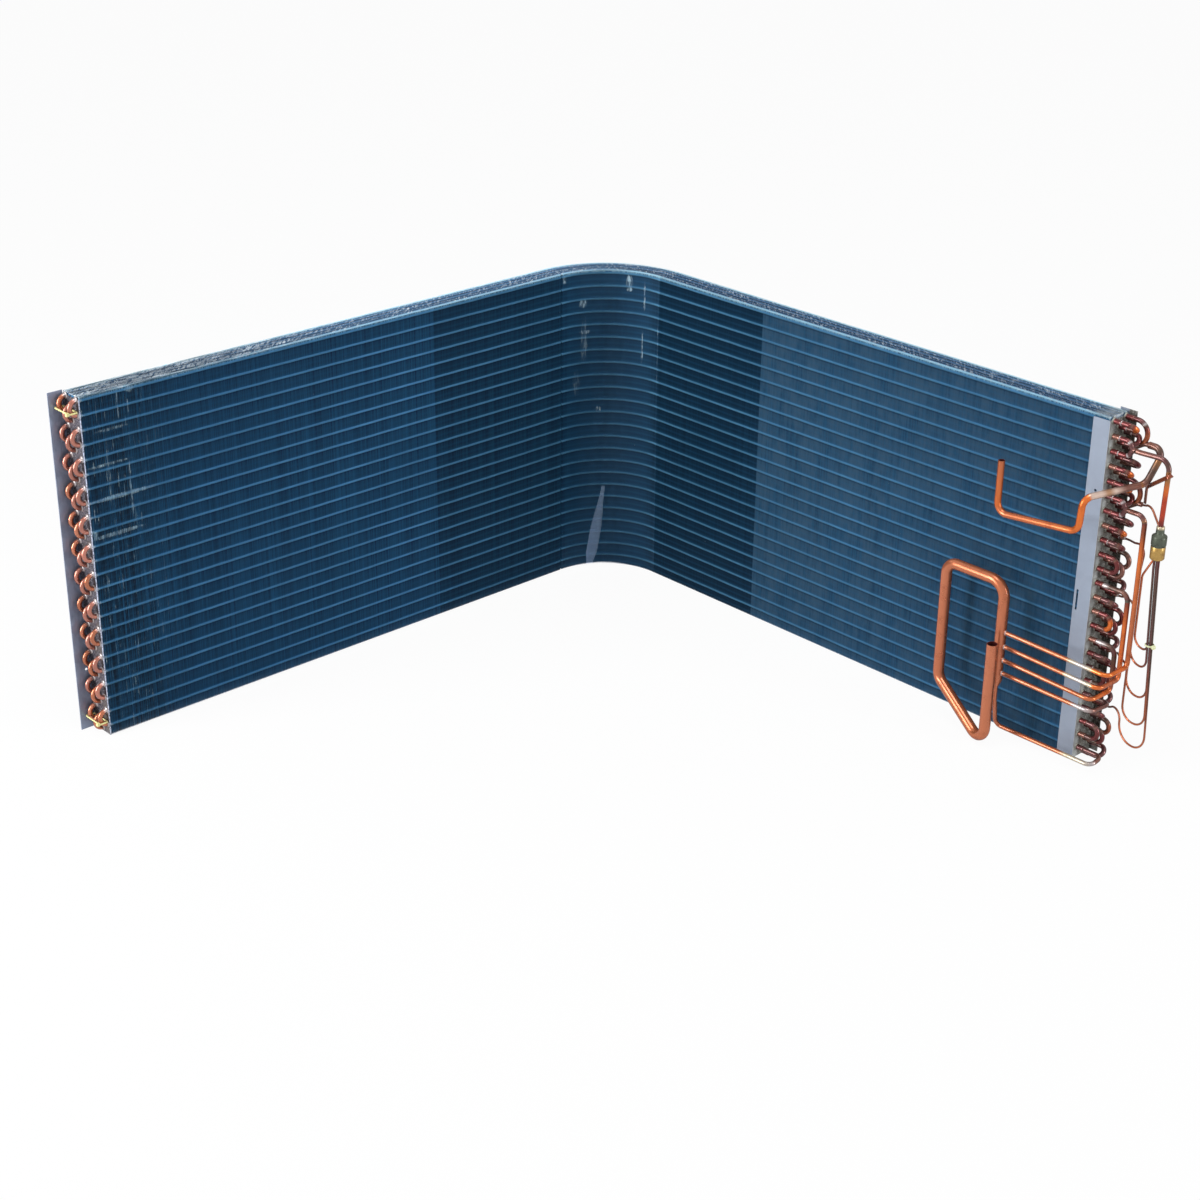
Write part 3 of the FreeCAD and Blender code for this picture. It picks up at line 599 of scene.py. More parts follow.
@dataclass(frozen=True)
class Galvanised:
    """Zinc-coated sheet: a smooth streaked flange and a duller, speckled plate past the edge,
    painted dark as shade, with painted glints.
    """

    name: str
    edge: float
    light: Triple
    dark: Triple
    front: float
    # Painted shade: the plate between the bends is much darker than the flange.
    plate: Triple = (0.105, 0.100, 0.090)
    silvery: Triple = (0.30, 0.30, 0.28)
    stain: Triple = (0.14, 0.11, 0.07)
    lit_front: Triple = (0.48, 0.51, 0.51)
    # Painted glints on the plate.
    speck: Triple = (0.80, 0.80, 0.78)
    cut: Triple = (0.55, 0.62, 0.78)
    rim: float = 9.0
    metal: float = 0.45

    def material(self) -> bpy.types.Material:
        """Build the material; the plate is lighter near its front, as painted light, and near its
        rim.

        Returns:
            The material.
        """
        r = Recipe(bpy.data.materials.new(self.name))
        place = r.place()
        x, y, _ = r.axes(place)
        crystal = r.crystals(place, 85.0)
        cloud = r.noise(place, 16.0, 4.0, 0.6)
        grain = r.noise(place, 420.0, 3.0, 0.7)
        streak = r.streaks(place, (150.0, 150.0, 4.0))
        flange = r.blend(crystal * 0.2 + streak * 0.3 + cloud * 0.45, self.dark, self.light)
        # The plate is painted dark as shade, with painted glints in its specks.
        dull = r.blend(grain.fade(0.42, 0.66), self.plate, self.silvery)
        dull = r.blend(cloud.fade(0.50, 0.68) * 0.5, dull, self.stain)
        # Painted light: the plate is lighter near its front.
        near = y.fade(self.front + 13.0 * MM, self.front + 3.0 * MM)
        dull = r.blend(near * 0.85, dull, self.lit_front)
        dull = r.blend(grain.fade(0.66, 0.72), dull, self.speck)
        torn = grain.fade(0.38, 0.56) * 0.8 + 0.2
        dull = r.blend(x.fade(self.rim - 1.5 * MM, self.rim - 0.5 * MM) * torn, dull, self.cut)
        colour = r.blend(x.fade(self.edge - 0.2 * MM, self.edge), flange, dull)
        return r.finish({"Base Color": colour, "Metallic": self.metal,
                         "Roughness": 0.36 + crystal * 0.10 + streak * 0.12,
                         "Normal": r.bump(grain * 0.3 + streak * 0.6, 0.06, 0.0004)})


@dataclass(frozen=True)
class Nylon:
    """Yellowish cable-tie plastic."""

    name: str
    colour: Triple

    def material(self) -> bpy.types.Material:
        """Build the material.

        Returns:
            The material.
        """
        r = Recipe(bpy.data.materials.new(self.name))
        cloud = r.noise(r.place(), 260.0, 3.0, 0.6)
        colour = r.blend(cloud, self.colour, tuple(min(1.0, c * 1.25) for c in self.colour))
        return r.finish({"Base Color": colour, "Roughness": 0.38 + cloud * 0.2,
                         "Subsurface Weight": 0.15, "Subsurface Radius": (0.002, 0.002, 0.001),
                         "Normal": r.bump(cloud, 0.1, 0.0002)})


@dataclass(frozen=True)
class PaleFloor:
    """Plain floor that the camera sees as white and that keeps the object's shadow."""

    name: str = "pale_floor"
    shade: float = 0.80
    white: float = 0.95

    def material(self) -> bpy.types.Material:
        """Build the material.

        Returns:
            The material.
        """
        r = Recipe(bpy.data.materials.new(self.name))
        cloud = r.noise(r.place(), 3.0, 2.0)
        paint = r.blend(cloud * 0.1, (self.shade,) * 3, (self.shade * 0.97,) * 3)
        matte = r.node("ShaderNodeBsdfDiffuse", {}, {"Color": paint}, "BSDF")
        white = {"Color": (1.0, 1.0, 1.0), "Strength": 1.0}
        glow = r.node("ShaderNodeEmission", {}, white, "Emission")
        seen = r.unlit("Camera", "Glossy", "Transmission") * self.white
        return r.output(r.node("ShaderNodeMixShader", {}, {0: seen, 1: matte, 2: glow}, "Shader"))


# Modelling by hand


def deselect() -> None:
    """Leave nothing selected."""
    bpy.ops.object.select_all(action="DESELECT")


def start_edit() -> None:
    """Go into edit mode with everything of the active piece selected."""
    bpy.ops.object.mode_set(mode="EDIT")
    bpy.ops.mesh.select_mode(type="VERT")
    bpy.ops.mesh.select_all(action="SELECT")


def end_edit() -> None:
    """Leave edit mode."""
    bpy.ops.object.mode_set(mode="OBJECT")


def choose(piece: Piece) -> None:
    """Select one piece alone and make it the active one.

    Args:
        piece: The piece.
    """
    deselect()
    piece.select_set(True)
    bpy.context.view_layer.objects.active = piece


def settle(piece: Piece) -> Piece:
    """Put a piece's place, turn and size into its mesh.

    Args:
        piece: The piece.

    Returns:
        The piece.
    """
    choose(piece)
    bpy.ops.object.transform_apply(location=True, rotation=True, scale=True)
    return piece


def extrude(move: Vector) -> None:
    """Extrude the selection by a move."""
    bpy.ops.mesh.extrude_region_move(TRANSFORM_OT_translate={"value": tuple(move)})


def resize(factor: float, centre: Vector) -> None:
    """Scale the selection about a point."""
    bpy.ops.transform.resize(value=(factor,) * 3, center_override=tuple(centre))


def close_up() -> None:
    """Fill open ends, point every face outwards and leave edit mode."""
    bpy.ops.mesh.select_all(action="SELECT")
    bpy.ops.mesh.fill_holes(sides=0)
    bpy.ops.mesh.select_all(action="SELECT")
    bpy.ops.mesh.normals_make_consistent(inside=False)
    end_edit()


def modify(piece: Piece, kind: str, **settings: object) -> Piece:
    """Apply a modifier to a piece.

    Args:
        piece: The piece.
        kind: The modifier's type.
        settings: Its properties.

    Returns:
        The piece.
    """
    choose(piece)
    modifier = piece.modifiers.new(kind.lower(), kind)
    for key, value in settings.items():
        setattr(modifier, key, value)
    bpy.ops.object.modifier_apply(modifier=modifier.name)
    return piece


def smooth(piece: Piece, degrees: float = 40.0) -> Piece:
    """Shade a piece smooth, but for its sharp edges.

    Args:
        piece: The piece.
        degrees: The angle from which an edge is sharp.

    Returns:
        The piece.
    """
    choose(piece)
    bpy.ops.object.shade_smooth_by_angle(angle=math.radians(degrees))
    return piece


def join(pieces: list[Piece], name: str) -> Piece:
    """Make several pieces one.

    Args:
        pieces: The pieces; the first one keeps its object.
        name: Name of the joined piece.

    Returns:
        The joined piece.
    """
    choose(pieces[0])
    for piece in pieces[1:]:
        piece.select_set(True)
    if len(pieces) > 1:
        bpy.ops.object.join()
    joined = bpy.context.active_object
    joined.name = name
    joined.data.name = name
    return settle(joined)


def copied(piece: Piece, move: Vector) -> Piece:
    """Copy a piece, with its own mesh, and move the copy.

    Args:
        piece: The piece.
        move: How far the copy moves.

    Returns:
        The copy.
    """
    choose(piece)
    bpy.ops.object.duplicate(linked=False)
    twin = bpy.context.active_object
    bpy.ops.transform.translate(value=tuple(move))
    return settle(twin)


def repeated(piece: Piece, feet: list[Vector]) -> list[Piece]:
    """Copy a piece to every further foot.

    Args:
        piece: The piece, which stands at the first foot.
        feet: The feet.

    Returns:
        The piece and its copies, in the order of the feet.
    """
    return [piece, *[copied(piece, foot - feet[0]) for foot in feet[1:]]]


def rings(tones: list[tuple[float, ...]], sides: int) -> list[tuple[float, ...]]:
    """Colours of a tube's vertices from those of its rings."""
    return [tone for tone in tones for _ in range(sides)]


def paint(piece: Piece, colours: list[tuple[float, ...]]) -> None:
    """Store the tones of a piece.

    Args:
        piece: The piece.
        colours: Red, green, blue and roughness of each vertex.
    """
    layer = piece.data.attributes.get("tone")
    if layer is None:
        layer = piece.data.attributes.new("tone", "FLOAT_COLOR", "POINT")
    layer.data.foreach_set("color", [part for colour in colours for part in colour])


def finish_piece(piece: Piece, material: bpy.types.Material, slot: str, *nodes: str) -> None:
    """Dress a piece, let it ride on the coil and stand for its solids.

    Args:
        piece: The piece.
        material: Its material.
        slot: Name of a material slot; not used.
        nodes: The frame's nodes that it stands for.
    """
    piece.data.materials.clear()
    piece.data.materials.append(material)
    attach(piece, "root")
    if nodes:
        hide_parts(*nodes)
    log.info("%s: %d faces", piece.name, len(piece.data.polygons))


def first_ring(name: str, sides: int, radius: float, place: Vector, axis: Vector) -> Piece:
    """Start a tube or a turned piece with an open ring, in edit mode.

    Args:
        name: The piece's name.
        sides: Number of the ring's sides.
        radius: Its radius.
        place: Its centre.
        axis: The direction that it faces.

    Returns:
        The piece.
    """
    deselect()
    turn = axis.to_track_quat("Z", "Y").to_euler()
    bpy.ops.mesh.primitive_circle_add(vertices=sides, radius=radius, fill_type="NOTHING",
                                      location=place, rotation=turn)
    piece = settle(bpy.context.active_object)
    piece.name = name
    start_edit()
    return piece


@dataclass
class BentTube:
    """A round tube bent along straight runs joined by tangent arcs.

    The points are its way's corners. bends holds the arcs' radii, or one for all. tip gives a
    spun-in first end its length and its share of the radius. A bored tube is open at its last end.
    """

    points: list[Vector]
    radius: float
    bends: float | list[float]
    sides: int = 18
    step: float = 9.0
    bore: float = 0.0
    depth: float = 30 * MM
    tip: tuple[float, float] = (0.0, 1.0)
    stride: float = 4 * MM
    shares: list[float] = field(default_factory=list)

    def build(self, name: str, tones: Stops) -> Piece:
        """Draw the tube ring by ring and paint it.

        Args:
            name: The piece's name.
            tones: Tones along the tube's length.

        Returns:
            The tube.
        """
        here = self.points[0].copy()
        direction = (self.points[1] - here).normalized()
        length, share = self.tip
        piece = first_ring(name, self.sides, self.radius * share, here, direction)
        lengths = [0.0]
        if length:
            here = here + direction * length
            extrude(direction * length)
            resize(1 / share, here)
            lengths.append(length)
        here, direction = self.runs(here, direction, lengths)
        self.straight(here, self.points[-1], lengths)
        total = lengths[-1]
        if self.bore:
            extrude(Vector())
            resize(self.bore / self.radius, self.points[-1])
            extrude(direction * -self.depth)
            lengths.extend([total, total - self.depth])
        close_up()
        self.shares = [length / total for length in lengths]
        colours = [tone_at(tones, share) for share in self.shares]
        if self.bore:
            # The bore's inside is painted dark claret as painted shade.
            colours[-2:] = [Tone.CLARET.value] * 2
        paint(piece, rings(colours, self.sides))
        return smooth(piece)

    def straight(self, here: Vector, there: Vector, lengths: list[float]) -> None:
        """Extrude a straight run in even strides, so that its tones have rings to sit on.

        Args:
            here: Where it starts.
            there: Where it ends.
            lengths: Length along the tube at each ring, added to.
        """
        run = there - here
        if run.length < 1e-6:
            return
        count = max(1, round(run.length / self.stride)) if self.stride else 1
        for _ in range(count):
            extrude(run / count)
            lengths.append(lengths[-1] + run.length / count)

    def runs(self, here: Vector, direction: Vector, lengths: list[float]) -> tuple[Vector, Vector]:
        """Extrude the runs and spin the arcs up to the last corner.

        Args:
            here: Centre of the ring so far.
            direction: The tube's direction there.
            lengths: Length along the tube at each ring, added to.

        Returns:
            The centre and direction after the last arc.
        """
        corners = self.points[1:-1]
        radii = self.bends if isinstance(self.bends, list) else [self.bends] * len(corners)
        for corner, after_point, radius in zip(corners, self.points[2:], radii):
            after = (after_point - corner).normalized()
            angle = direction.angle(after)
            if angle < 0.01:
                continue
            axis = direction.cross(after).normalized()
            trim = radius * math.tan(angle / 2)
            start = corner - direction * trim
            self.straight(here, start, lengths)
            count = max(2, math.ceil(math.degrees(angle) / self.step))
            centre = start + axis.cross(direction) * radius
            bpy.ops.mesh.spin(steps=count, angle=-angle, center=tuple(centre), axis=tuple(axis))
            lengths.extend(lengths[-1] + radius * angle * (k + 1) / count for k in range(count))
            here = corner + after * trim
            direction = after
        return here, direction


@dataclass
class Turned:
    """A turned, closed piece: rings with a distance and a radius in mm, and a tone."""

    stations: list[tuple[float, float, Tone]]
    sides: int = 18

    def build(self, name: str, foot: Vector, axis: Vector) -> Piece:
        """Draw the rings.

        Args:
            name: The piece's name.
            foot: Where the axis starts.
            axis: The direction that distances count in.

        Returns:
            The turned piece.
        """
        before, radius, _ = self.stations[0]
        piece = first_ring(name, self.sides, radius * MM, foot + axis * (before * MM), axis)
        for distance, wide, _ in self.stations[1:]:
            extrude(axis * ((distance - before) * MM))
            resize(wide / radius, foot + axis * (distance * MM))
            before, radius = distance, wide
        close_up()
        paint(piece, rings([tone.value for _, _, tone in self.stations], self.sides))
        return smooth(piece, 50.0)


@dataclass
class Ribbon:
    """A flat strap bent along runs and tangent arcs."""

    points: list[Vector]
    side: Vector
    width: float
    thickness: float
    bends: float
    closed: bool = False

    def build(self, name: str) -> Piece:
        """Draw the strap and round its edges.

        Args:
            name: The piece's name.

        Returns:
            The strap.
        """
        direction = (self.points[1] - self.points[0]).normalized()
        side = self.side.normalized()
        turn = Matrix((side, direction.cross(side).normalized(), direction)).transposed().to_euler()
        deselect()
        bpy.ops.mesh.primitive_plane_add(size=1.0, location=self.points[0], rotation=turn)
        piece = bpy.context.active_object
        piece.scale = (self.width, self.thickness, 1.0)
        settle(piece)
        piece.name = name
        start_edit()
        bpy.ops.mesh.delete(type="ONLY_FACE")
        bpy.ops.mesh.select_all(action="SELECT")
        way = BentTube(self.points, 1.0, self.bends, step=15.0, stride=0.0)
        here, _ = way.runs(self.points[0].copy(), direction, [0.0])
        extrude(self.points[-1] - here)
        if self.closed:
            bpy.ops.mesh.select_all(action="SELECT")
            bpy.ops.mesh.remove_doubles(threshold=1e-6)
        close_up()
        modify(piece, "BEVEL", width=self.thickness * 0.3, segments=2, angle_limit=math.radians(40))
        return smooth(piece)


# The coil


@dataclass(frozen=True)
class Layout:
    """Sizes that the coil's pieces share, with the frame's own corner as the working zero."""

    tube_pitch: float = 21.0 * MM
    row_pitch: float = 13.4 * MM
    tubes: int = 24
    tube_radius: float = 3.5 * MM
    left_leg: float = 960.0 * MM
    right_leg: float = 949.0 * MM
    bend_radius: float = 107.0 * MM
    sheet: float = 1.2 * MM
    rows: tuple[str, ...] = ("inner", "middle", "outer")
    single_starts: tuple[int, ...] = (9, 13, 17, 21)
    forked_starts: tuple[int, ...] = (1, 5)

    @property
    def corner(self) -> Vector:
        """Where the two inner faces of the coil would meet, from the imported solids."""
        low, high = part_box("fin_pack_inner")
        return Vector((high.x - self.right_leg, low.y + self.left_leg, 0.0))

    @property
    def height(self) -> float:
        """Height of the fins."""
        return self.tubes * self.tube_pitch

    @property
    def right_face(self) -> float:
        """Outer face of the right tube sheet."""
        return self.right_leg + self.sheet

    @property
    def left_face(self) -> float:
        """Outer face of the left tube sheet."""
        return -self.left_leg - self.sheet

    def at(self, x: float, y: float, z: float) -> Vector:
        """A point in the frame from its place beside the working zero."""
        return self.corner + Vector((x, y, z))

    def depth(self, row: int) -> float:
        """A row's distance behind the inner face."""
        return (row - 0.5) * self.row_pitch

    def level(self, row: int, number: int) -> float:
        """Height of a tube's axis."""
        drop = 0.25 * self.tube_pitch + (number - 1) * self.tube_pitch
        return self.height - drop - (0.5 * self.tube_pitch if row == 2 else 0.0)

    def right(self, reach: float, row: int, height: float) -> Vector:
        """A point beside the right tube sheet, at a reach from its outer face."""
        return self.at(self.right_face + reach, self.depth(row), height)

    def right_foot(self, row: int, number: int) -> Vector:
        """Where a tube comes through the right tube sheet."""
        return self.right(0.0, row, self.level(row, number))

    def grid(self) -> list[tuple[int, int]]:
        """Row and number of every tube."""
        return [(row, number) for row in (1, 2, 3) for number in range(1, self.tubes + 1)]
@dataclass
class FinPacks:
    """Thin rippled fins in three rows round the corner, and the tubes that run through them."""

    layout: Layout
    fin_depth: float = 13.0 * MM
    fin_thickness: float = 0.16 * MM
    fin_pitch: float = 1.7 * MM
    ripple: float = 0.35 * MM
    clearance: float = 0.1 * MM
    corner_fins: int = 112
    lean: float = 12.0
    crumple: float = 3.0
    phases: Triple = (5.25 * MM, -5.25 * MM, 5.25 * MM)
    scuffs: tuple[Scuff, ...] = (
        Scuff((-0.5068, -0.437, 0.3520), (0.006, 0.058, 0.0040), 2.6),
        Scuff((-0.5068, -0.444, 0.4495), (0.006, 0.030, 0.0026), 1.6),
        Scuff((-0.5068, -0.455, 0.4010), (0.006, 0.044, 0.0024), 1.6),
        Scuff((-0.5068, -0.450, 0.2990), (0.006, 0.050, 0.0036), 2.6),
        Scuff((-0.5068, -0.4229, 0.3550), (0.006, 0.0016, 0.0620), 1.6),
        Scuff((-0.5068, -0.4540, 0.3860), (0.006, 0.0014, 0.0720), 1.2),
        Scuff((-0.5068, -0.4327, 0.4800), (0.006, 0.0014, 0.0220), 1.6),
        Scuff((-0.5068, -0.484, 0.3050), (0.006, 0.007, 0.0060), 1.6),
        Scuff((-0.5068, -0.413, 0.4985), (0.006, 0.008, 0.0055), 2.4),
        Scuff((-0.5068, -0.341, 0.5005), (0.006, 0.006, 0.0030), 2.2),
        Scuff((-0.5065, 0.371, 0.4938), (0.006, 0.005, 0.0080), 0.9),
        Scuff((-0.4511, 0.4574, 0.4850), (0.0065, 0.0065, 0.0150), 1.4),
        Scuff((-0.4511, 0.4575, 0.4735), (0.0060, 0.0060, 0.0040), 2.2),
        Scuff((-0.4995, 0.4034, 0.4500), (0.006, 0.010, 0.0080), 1.2),
        Scuff((-0.4980, 0.4060, 0.4035), (0.006, 0.014, 0.0040), 1.5),
        Scuff((-0.4985, 0.4050, 0.3900), (0.006, 0.008, 0.0420), 0.5),
        Scuff((-0.5025, 0.3930, 0.3200), (0.006, 0.008, 0.0260), 0.35),
        Scuff((-0.4870, 0.4261, 0.2720), (0.006, 0.006, 0.0060), 1.0),
        Scuff((-0.4275, 0.4674, 0.4660), (0.0014, 0.0060, 0.0340), 1.2),
        Scuff((-0.4304, 0.4667, 0.3820), (0.0014, 0.0060, 0.0350), 1.5),
        Scuff((-0.4000, 0.4711, 0.3850), (0.0012, 0.0060, 0.0700), 0.4))

    def fin(self, row: int) -> Piece:
        """One upright fin across a row, at the left leg's end.

        Args:
            row: The row, 1 for the inner one.

        Returns:
            The fin.
        """
        lay = self.layout
        near = (row - 1) * lay.row_pitch + (lay.row_pitch - self.fin_depth) / 2
        end = -lay.left_leg + self.ripple + self.clearance
        deselect()
        bpy.ops.mesh.primitive_grid_add(x_subdivisions=4, y_subdivisions=1, size=1.0)
        piece = bpy.context.active_object
        piece.scale = (self.fin_depth, lay.height, 1.0)
        piece.rotation_euler = (math.pi / 2, 0.0, 0.0)
        piece.location = lay.at(-near - self.fin_depth / 2, end, lay.height / 2)
        settle(piece)
        start_edit()
        bpy.ops.mesh.select_all(action="DESELECT")
        end_edit()
        stations = sorted({round(v.co.x, 6) for v in piece.data.vertices})
        for v in piece.data.vertices:
            v.select = stations.index(round(v.co.x, 6)) % 2 == 1
        bpy.ops.object.mode_set(mode="EDIT")
        bpy.ops.transform.translate(value=(0.0, self.ripple, 0.0))
        end_edit()
        return modify(piece, "SOLIDIFY", thickness=self.fin_thickness, offset=0.0)

    def comb(self, piece: Piece, step: Vector, count: int) -> Piece:
        """Repeat a piece in even steps.

        Args:
            piece: The piece.
            step: The step from one to the next.
            count: How many there are in all.

        Returns:
            The piece, with its repeats in its mesh.
        """
        return modify(piece, "ARRAY", use_relative_offset=False, use_constant_offset=True,
                      constant_offset_displace=step, count=count)

    def turned(self, piece: Piece, degrees: float, centre: Vector) -> Piece:
        """Turn a piece clockwise about an upright axis.

        Args:
            piece: The piece.
            degrees: How far it turns.
            centre: A point on the axis.

        Returns:
            The piece.
        """
        turn = Matrix.Rotation(-math.radians(degrees), 4, "Z")
        piece.matrix_world = Matrix.Translation(centre) @ turn @ Matrix.Translation(-centre)
        return settle(piece)

    def crumpled(self, piece: Piece, centre: Vector) -> Piece:
        """Copy a fin, with its ripple and wall drawn out along the coil as fins get in a bend.

        Args:
            piece: The fin.
            centre: The point that it is drawn out from.

        Returns:
            The copy.
        """
        twin = copied(piece, Vector())
        start_edit()
        bpy.ops.transform.resize(value=(1.0, self.crumple, 1.0), center_override=tuple(centre))
        end_edit()
        return twin

    def pack(self, row: int) -> Piece:
        """All fins of one row; round the corner they are crumpled and lie over, row against row.

        Args:
            row: The row, 1 for the inner one.

        Returns:
            The fins as one piece.
        """
        lay = self.layout
        first = self.fin(row)
        run = lay.left_leg - lay.bend_radius
        count = round(run / self.fin_pitch)
        start = copied(first, Vector((0.0, run, 0.0)))
        left = self.comb(first, Vector((0.0, run / count, 0.0)), count)
        axis = lay.at(lay.bend_radius, -lay.bend_radius, 0.0)
        middle = lay.at(-lay.depth(row), -lay.bend_radius, 0.0)
        lean = self.lean if row == 2 else -self.lean
        bent = self.turned(self.crumpled(start, middle), lean, middle)
        corner_fins = [bent]
        for k in range(1, self.corner_fins):
            twin = copied(bent, Vector())
            corner_fins.append(self.turned(twin, 90.0 * k / self.corner_fins, axis))
        last = self.turned(start, 90.0, axis)
        run = lay.right_leg - lay.bend_radius - 2 * self.ripple
        count = round(run / self.fin_pitch)
        right = self.comb(last, Vector((run / count, 0.0, 0.0)), count)
        return join([left, *corner_fins, right], f"fins_{lay.rows[row - 1]}")

    def core(self, row: int) -> Piece:
        """The tubes that run through one row's fins.

        Args:
            row: The row, 1 for the inner one.

        Returns:
            The tubes as one piece.
        """
        lay = self.layout
        depth = lay.depth(row)
        top = lay.level(row, 1)
        points = [lay.at(-depth, -lay.left_leg, top), lay.at(-depth, depth, top),
                  lay.at(lay.right_leg, depth, top)]
        tube = BentTube(points, lay.tube_radius, lay.bend_radius + depth, sides=10, stride=0.0)
        name = f"tubes_{lay.rows[row - 1]}"
        return self.comb(tube.build(name, stops("0 COPPER")), -UP * lay.tube_pitch, lay.tubes)

    def build(self) -> None:
        """Build and dress the three rows."""
        sleeve = Sleeve("fin_sleeves").material()
        for row, (name, phase) in enumerate(zip(self.layout.rows, self.phases), start=1):
            scuffs = self.scuffs if row == 1 else ()
            coat = CoatedFins(f"coated_fins_{name}", self.layout.corner, phase, scuffs)
            finish_piece(self.pack(row), coat.material(), "fins", f"fin_pack_{name}")
            finish_piece(self.core(row), sleeve, "fins")


@dataclass
class TubeSheets:
    """The two folded sheets, and the collars where the tubes come through them.

    heights and radii are those of a collar's rings, in mm.
    """

    layout: Layout
    heights: tuple[float, ...] = (0.0, 0.5, 1.3, 1.5, 1.5)
    radii: tuple[float, ...] = (5.2, 4.836, 4.0, 3.6, 3.15)

    def collars(self, name: str, outward: Vector, tone: Tone) -> Piece:
        """A pressed collar round each tube on one sheet.

        Args:
            name: The piece's name.
            outward: Direction away from the sheet.
            tone: Tone of the collars' rims.

        Returns:
            All collars as one piece.
        """
        lay = self.layout
        tones = (tone, tone, tone, Tone.UMBER, Tone.UMBER)
        feet = [lay.right_foot(row, number) for row, number in lay.grid()]
        if outward.x <= 0:
            feet = [lay.at(-lay.depth(row), lay.left_face, lay.level(row, number))
                    for row, number in lay.grid()]
        lip = Turned(list(zip(self.heights, self.radii, tones)), sides=20)
        return join(repeated(lip.build(name, feet[0], outward), feet), name)

    def build(self) -> None:
        """Dress the sheets and add the collars."""
        lay = self.layout
        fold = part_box("tube_sheet_left")[0].x + lay.sheet + 0.5 * MM
        face = lay.right(-0.1 * MM, 1, 0.0).x
        left = Galvanised("galvanised_left", fold, (0.37, 0.44, 0.58), (0.155, 0.19, 0.28), -1.0,
                          plate=(0.035, 0.033, 0.042), silvery=(0.20, 0.19, 0.23), rim=lay.corner.x)
        right = Galvanised("galvanised_right", face, (0.30, 0.345, 0.425), (0.215, 0.248, 0.312),
                           lay.corner.y)
        for node, finish in (("tube_sheet_left", left), ("tube_sheet_right", right)):
            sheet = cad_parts[node]
            sheet.data.materials.clear()
            sheet.data.materials.append(finish.material())
        metal = Copper("collar_metal", metal=0.6, film=0.0).material()
        # The left collars' silver rims are galvanised metal, made brighter than zinc as a painted
        # highlight at the hairpin roots.
        for name, outward, tone in (("left", -BACK, Tone.SILVER), ("right", OUT, Tone.ZINC)):
            collars = self.collars(f"collars_{name}", outward, tone)
            finish_piece(collars, metal, "galvanised_steel")


@dataclass
class HairpinBends:
    """The bright factory bends of the long tubes, at the left end."""

    layout: Layout
    sides: int = 20
    tints: tuple[Tone, ...] = (Tone.ROSE, Tone.ROSE, Tone.SALMON, Tone.COPPER)
    shades: tuple[float, float] = (0.86, 1.1)

    def tones(self, tint: Tone) -> Stops:
        """Tones of a bend in one tint, with silvery ends that are a painted highlight."""
        return stops(f"0 SILVER 5 {tint.name} 95 {tint.name} 100 SILVER")

    def build(self) -> None:
        """Build the bends of the three rows."""
        lay = self.layout
        bright = Copper("bright_copper", 0.75, staining=0.25, film=1.0, rim=(0.10, 0.03, 0.02))
        metal = bright.material()
        dice = random.Random(7)
        for row, name in enumerate(lay.rows, start=1):
            x = -lay.depth(row)
            reach = lay.left_face - lay.tube_pitch / 2
            top, low = lay.level(row, 1), lay.level(row, 2)
            points = [lay.at(x, lay.left_face, top), lay.at(x, reach, top), lay.at(x, reach, low),
                      lay.at(x, lay.left_face, low)]
            tube = BentTube(points, lay.tube_radius, lay.tube_pitch / 2, sides=self.sides)
            first = tube.build("hairpin", self.tones(Tone.COPPER if row == 3 else Tone.ROSE))
            made = repeated(first, [-UP * (2 * k * lay.tube_pitch) for k in range(lay.tubes // 2)])
            for twin in made[1:]:
                shade = dice.uniform(*self.shades)
                own = self.tones(dice.choice(self.tints))
                colours = [tone_at(own, share) for share in tube.shares]
                shaded = [(*(part * shade for part in colour[:3]), colour[3]) for colour in colours]
                paint(twin, rings(shaded, tube.sides))
            finish_piece(join(made, f"hairpins_{name}"), metal, "copper", f"hairpin_bends_{name}")


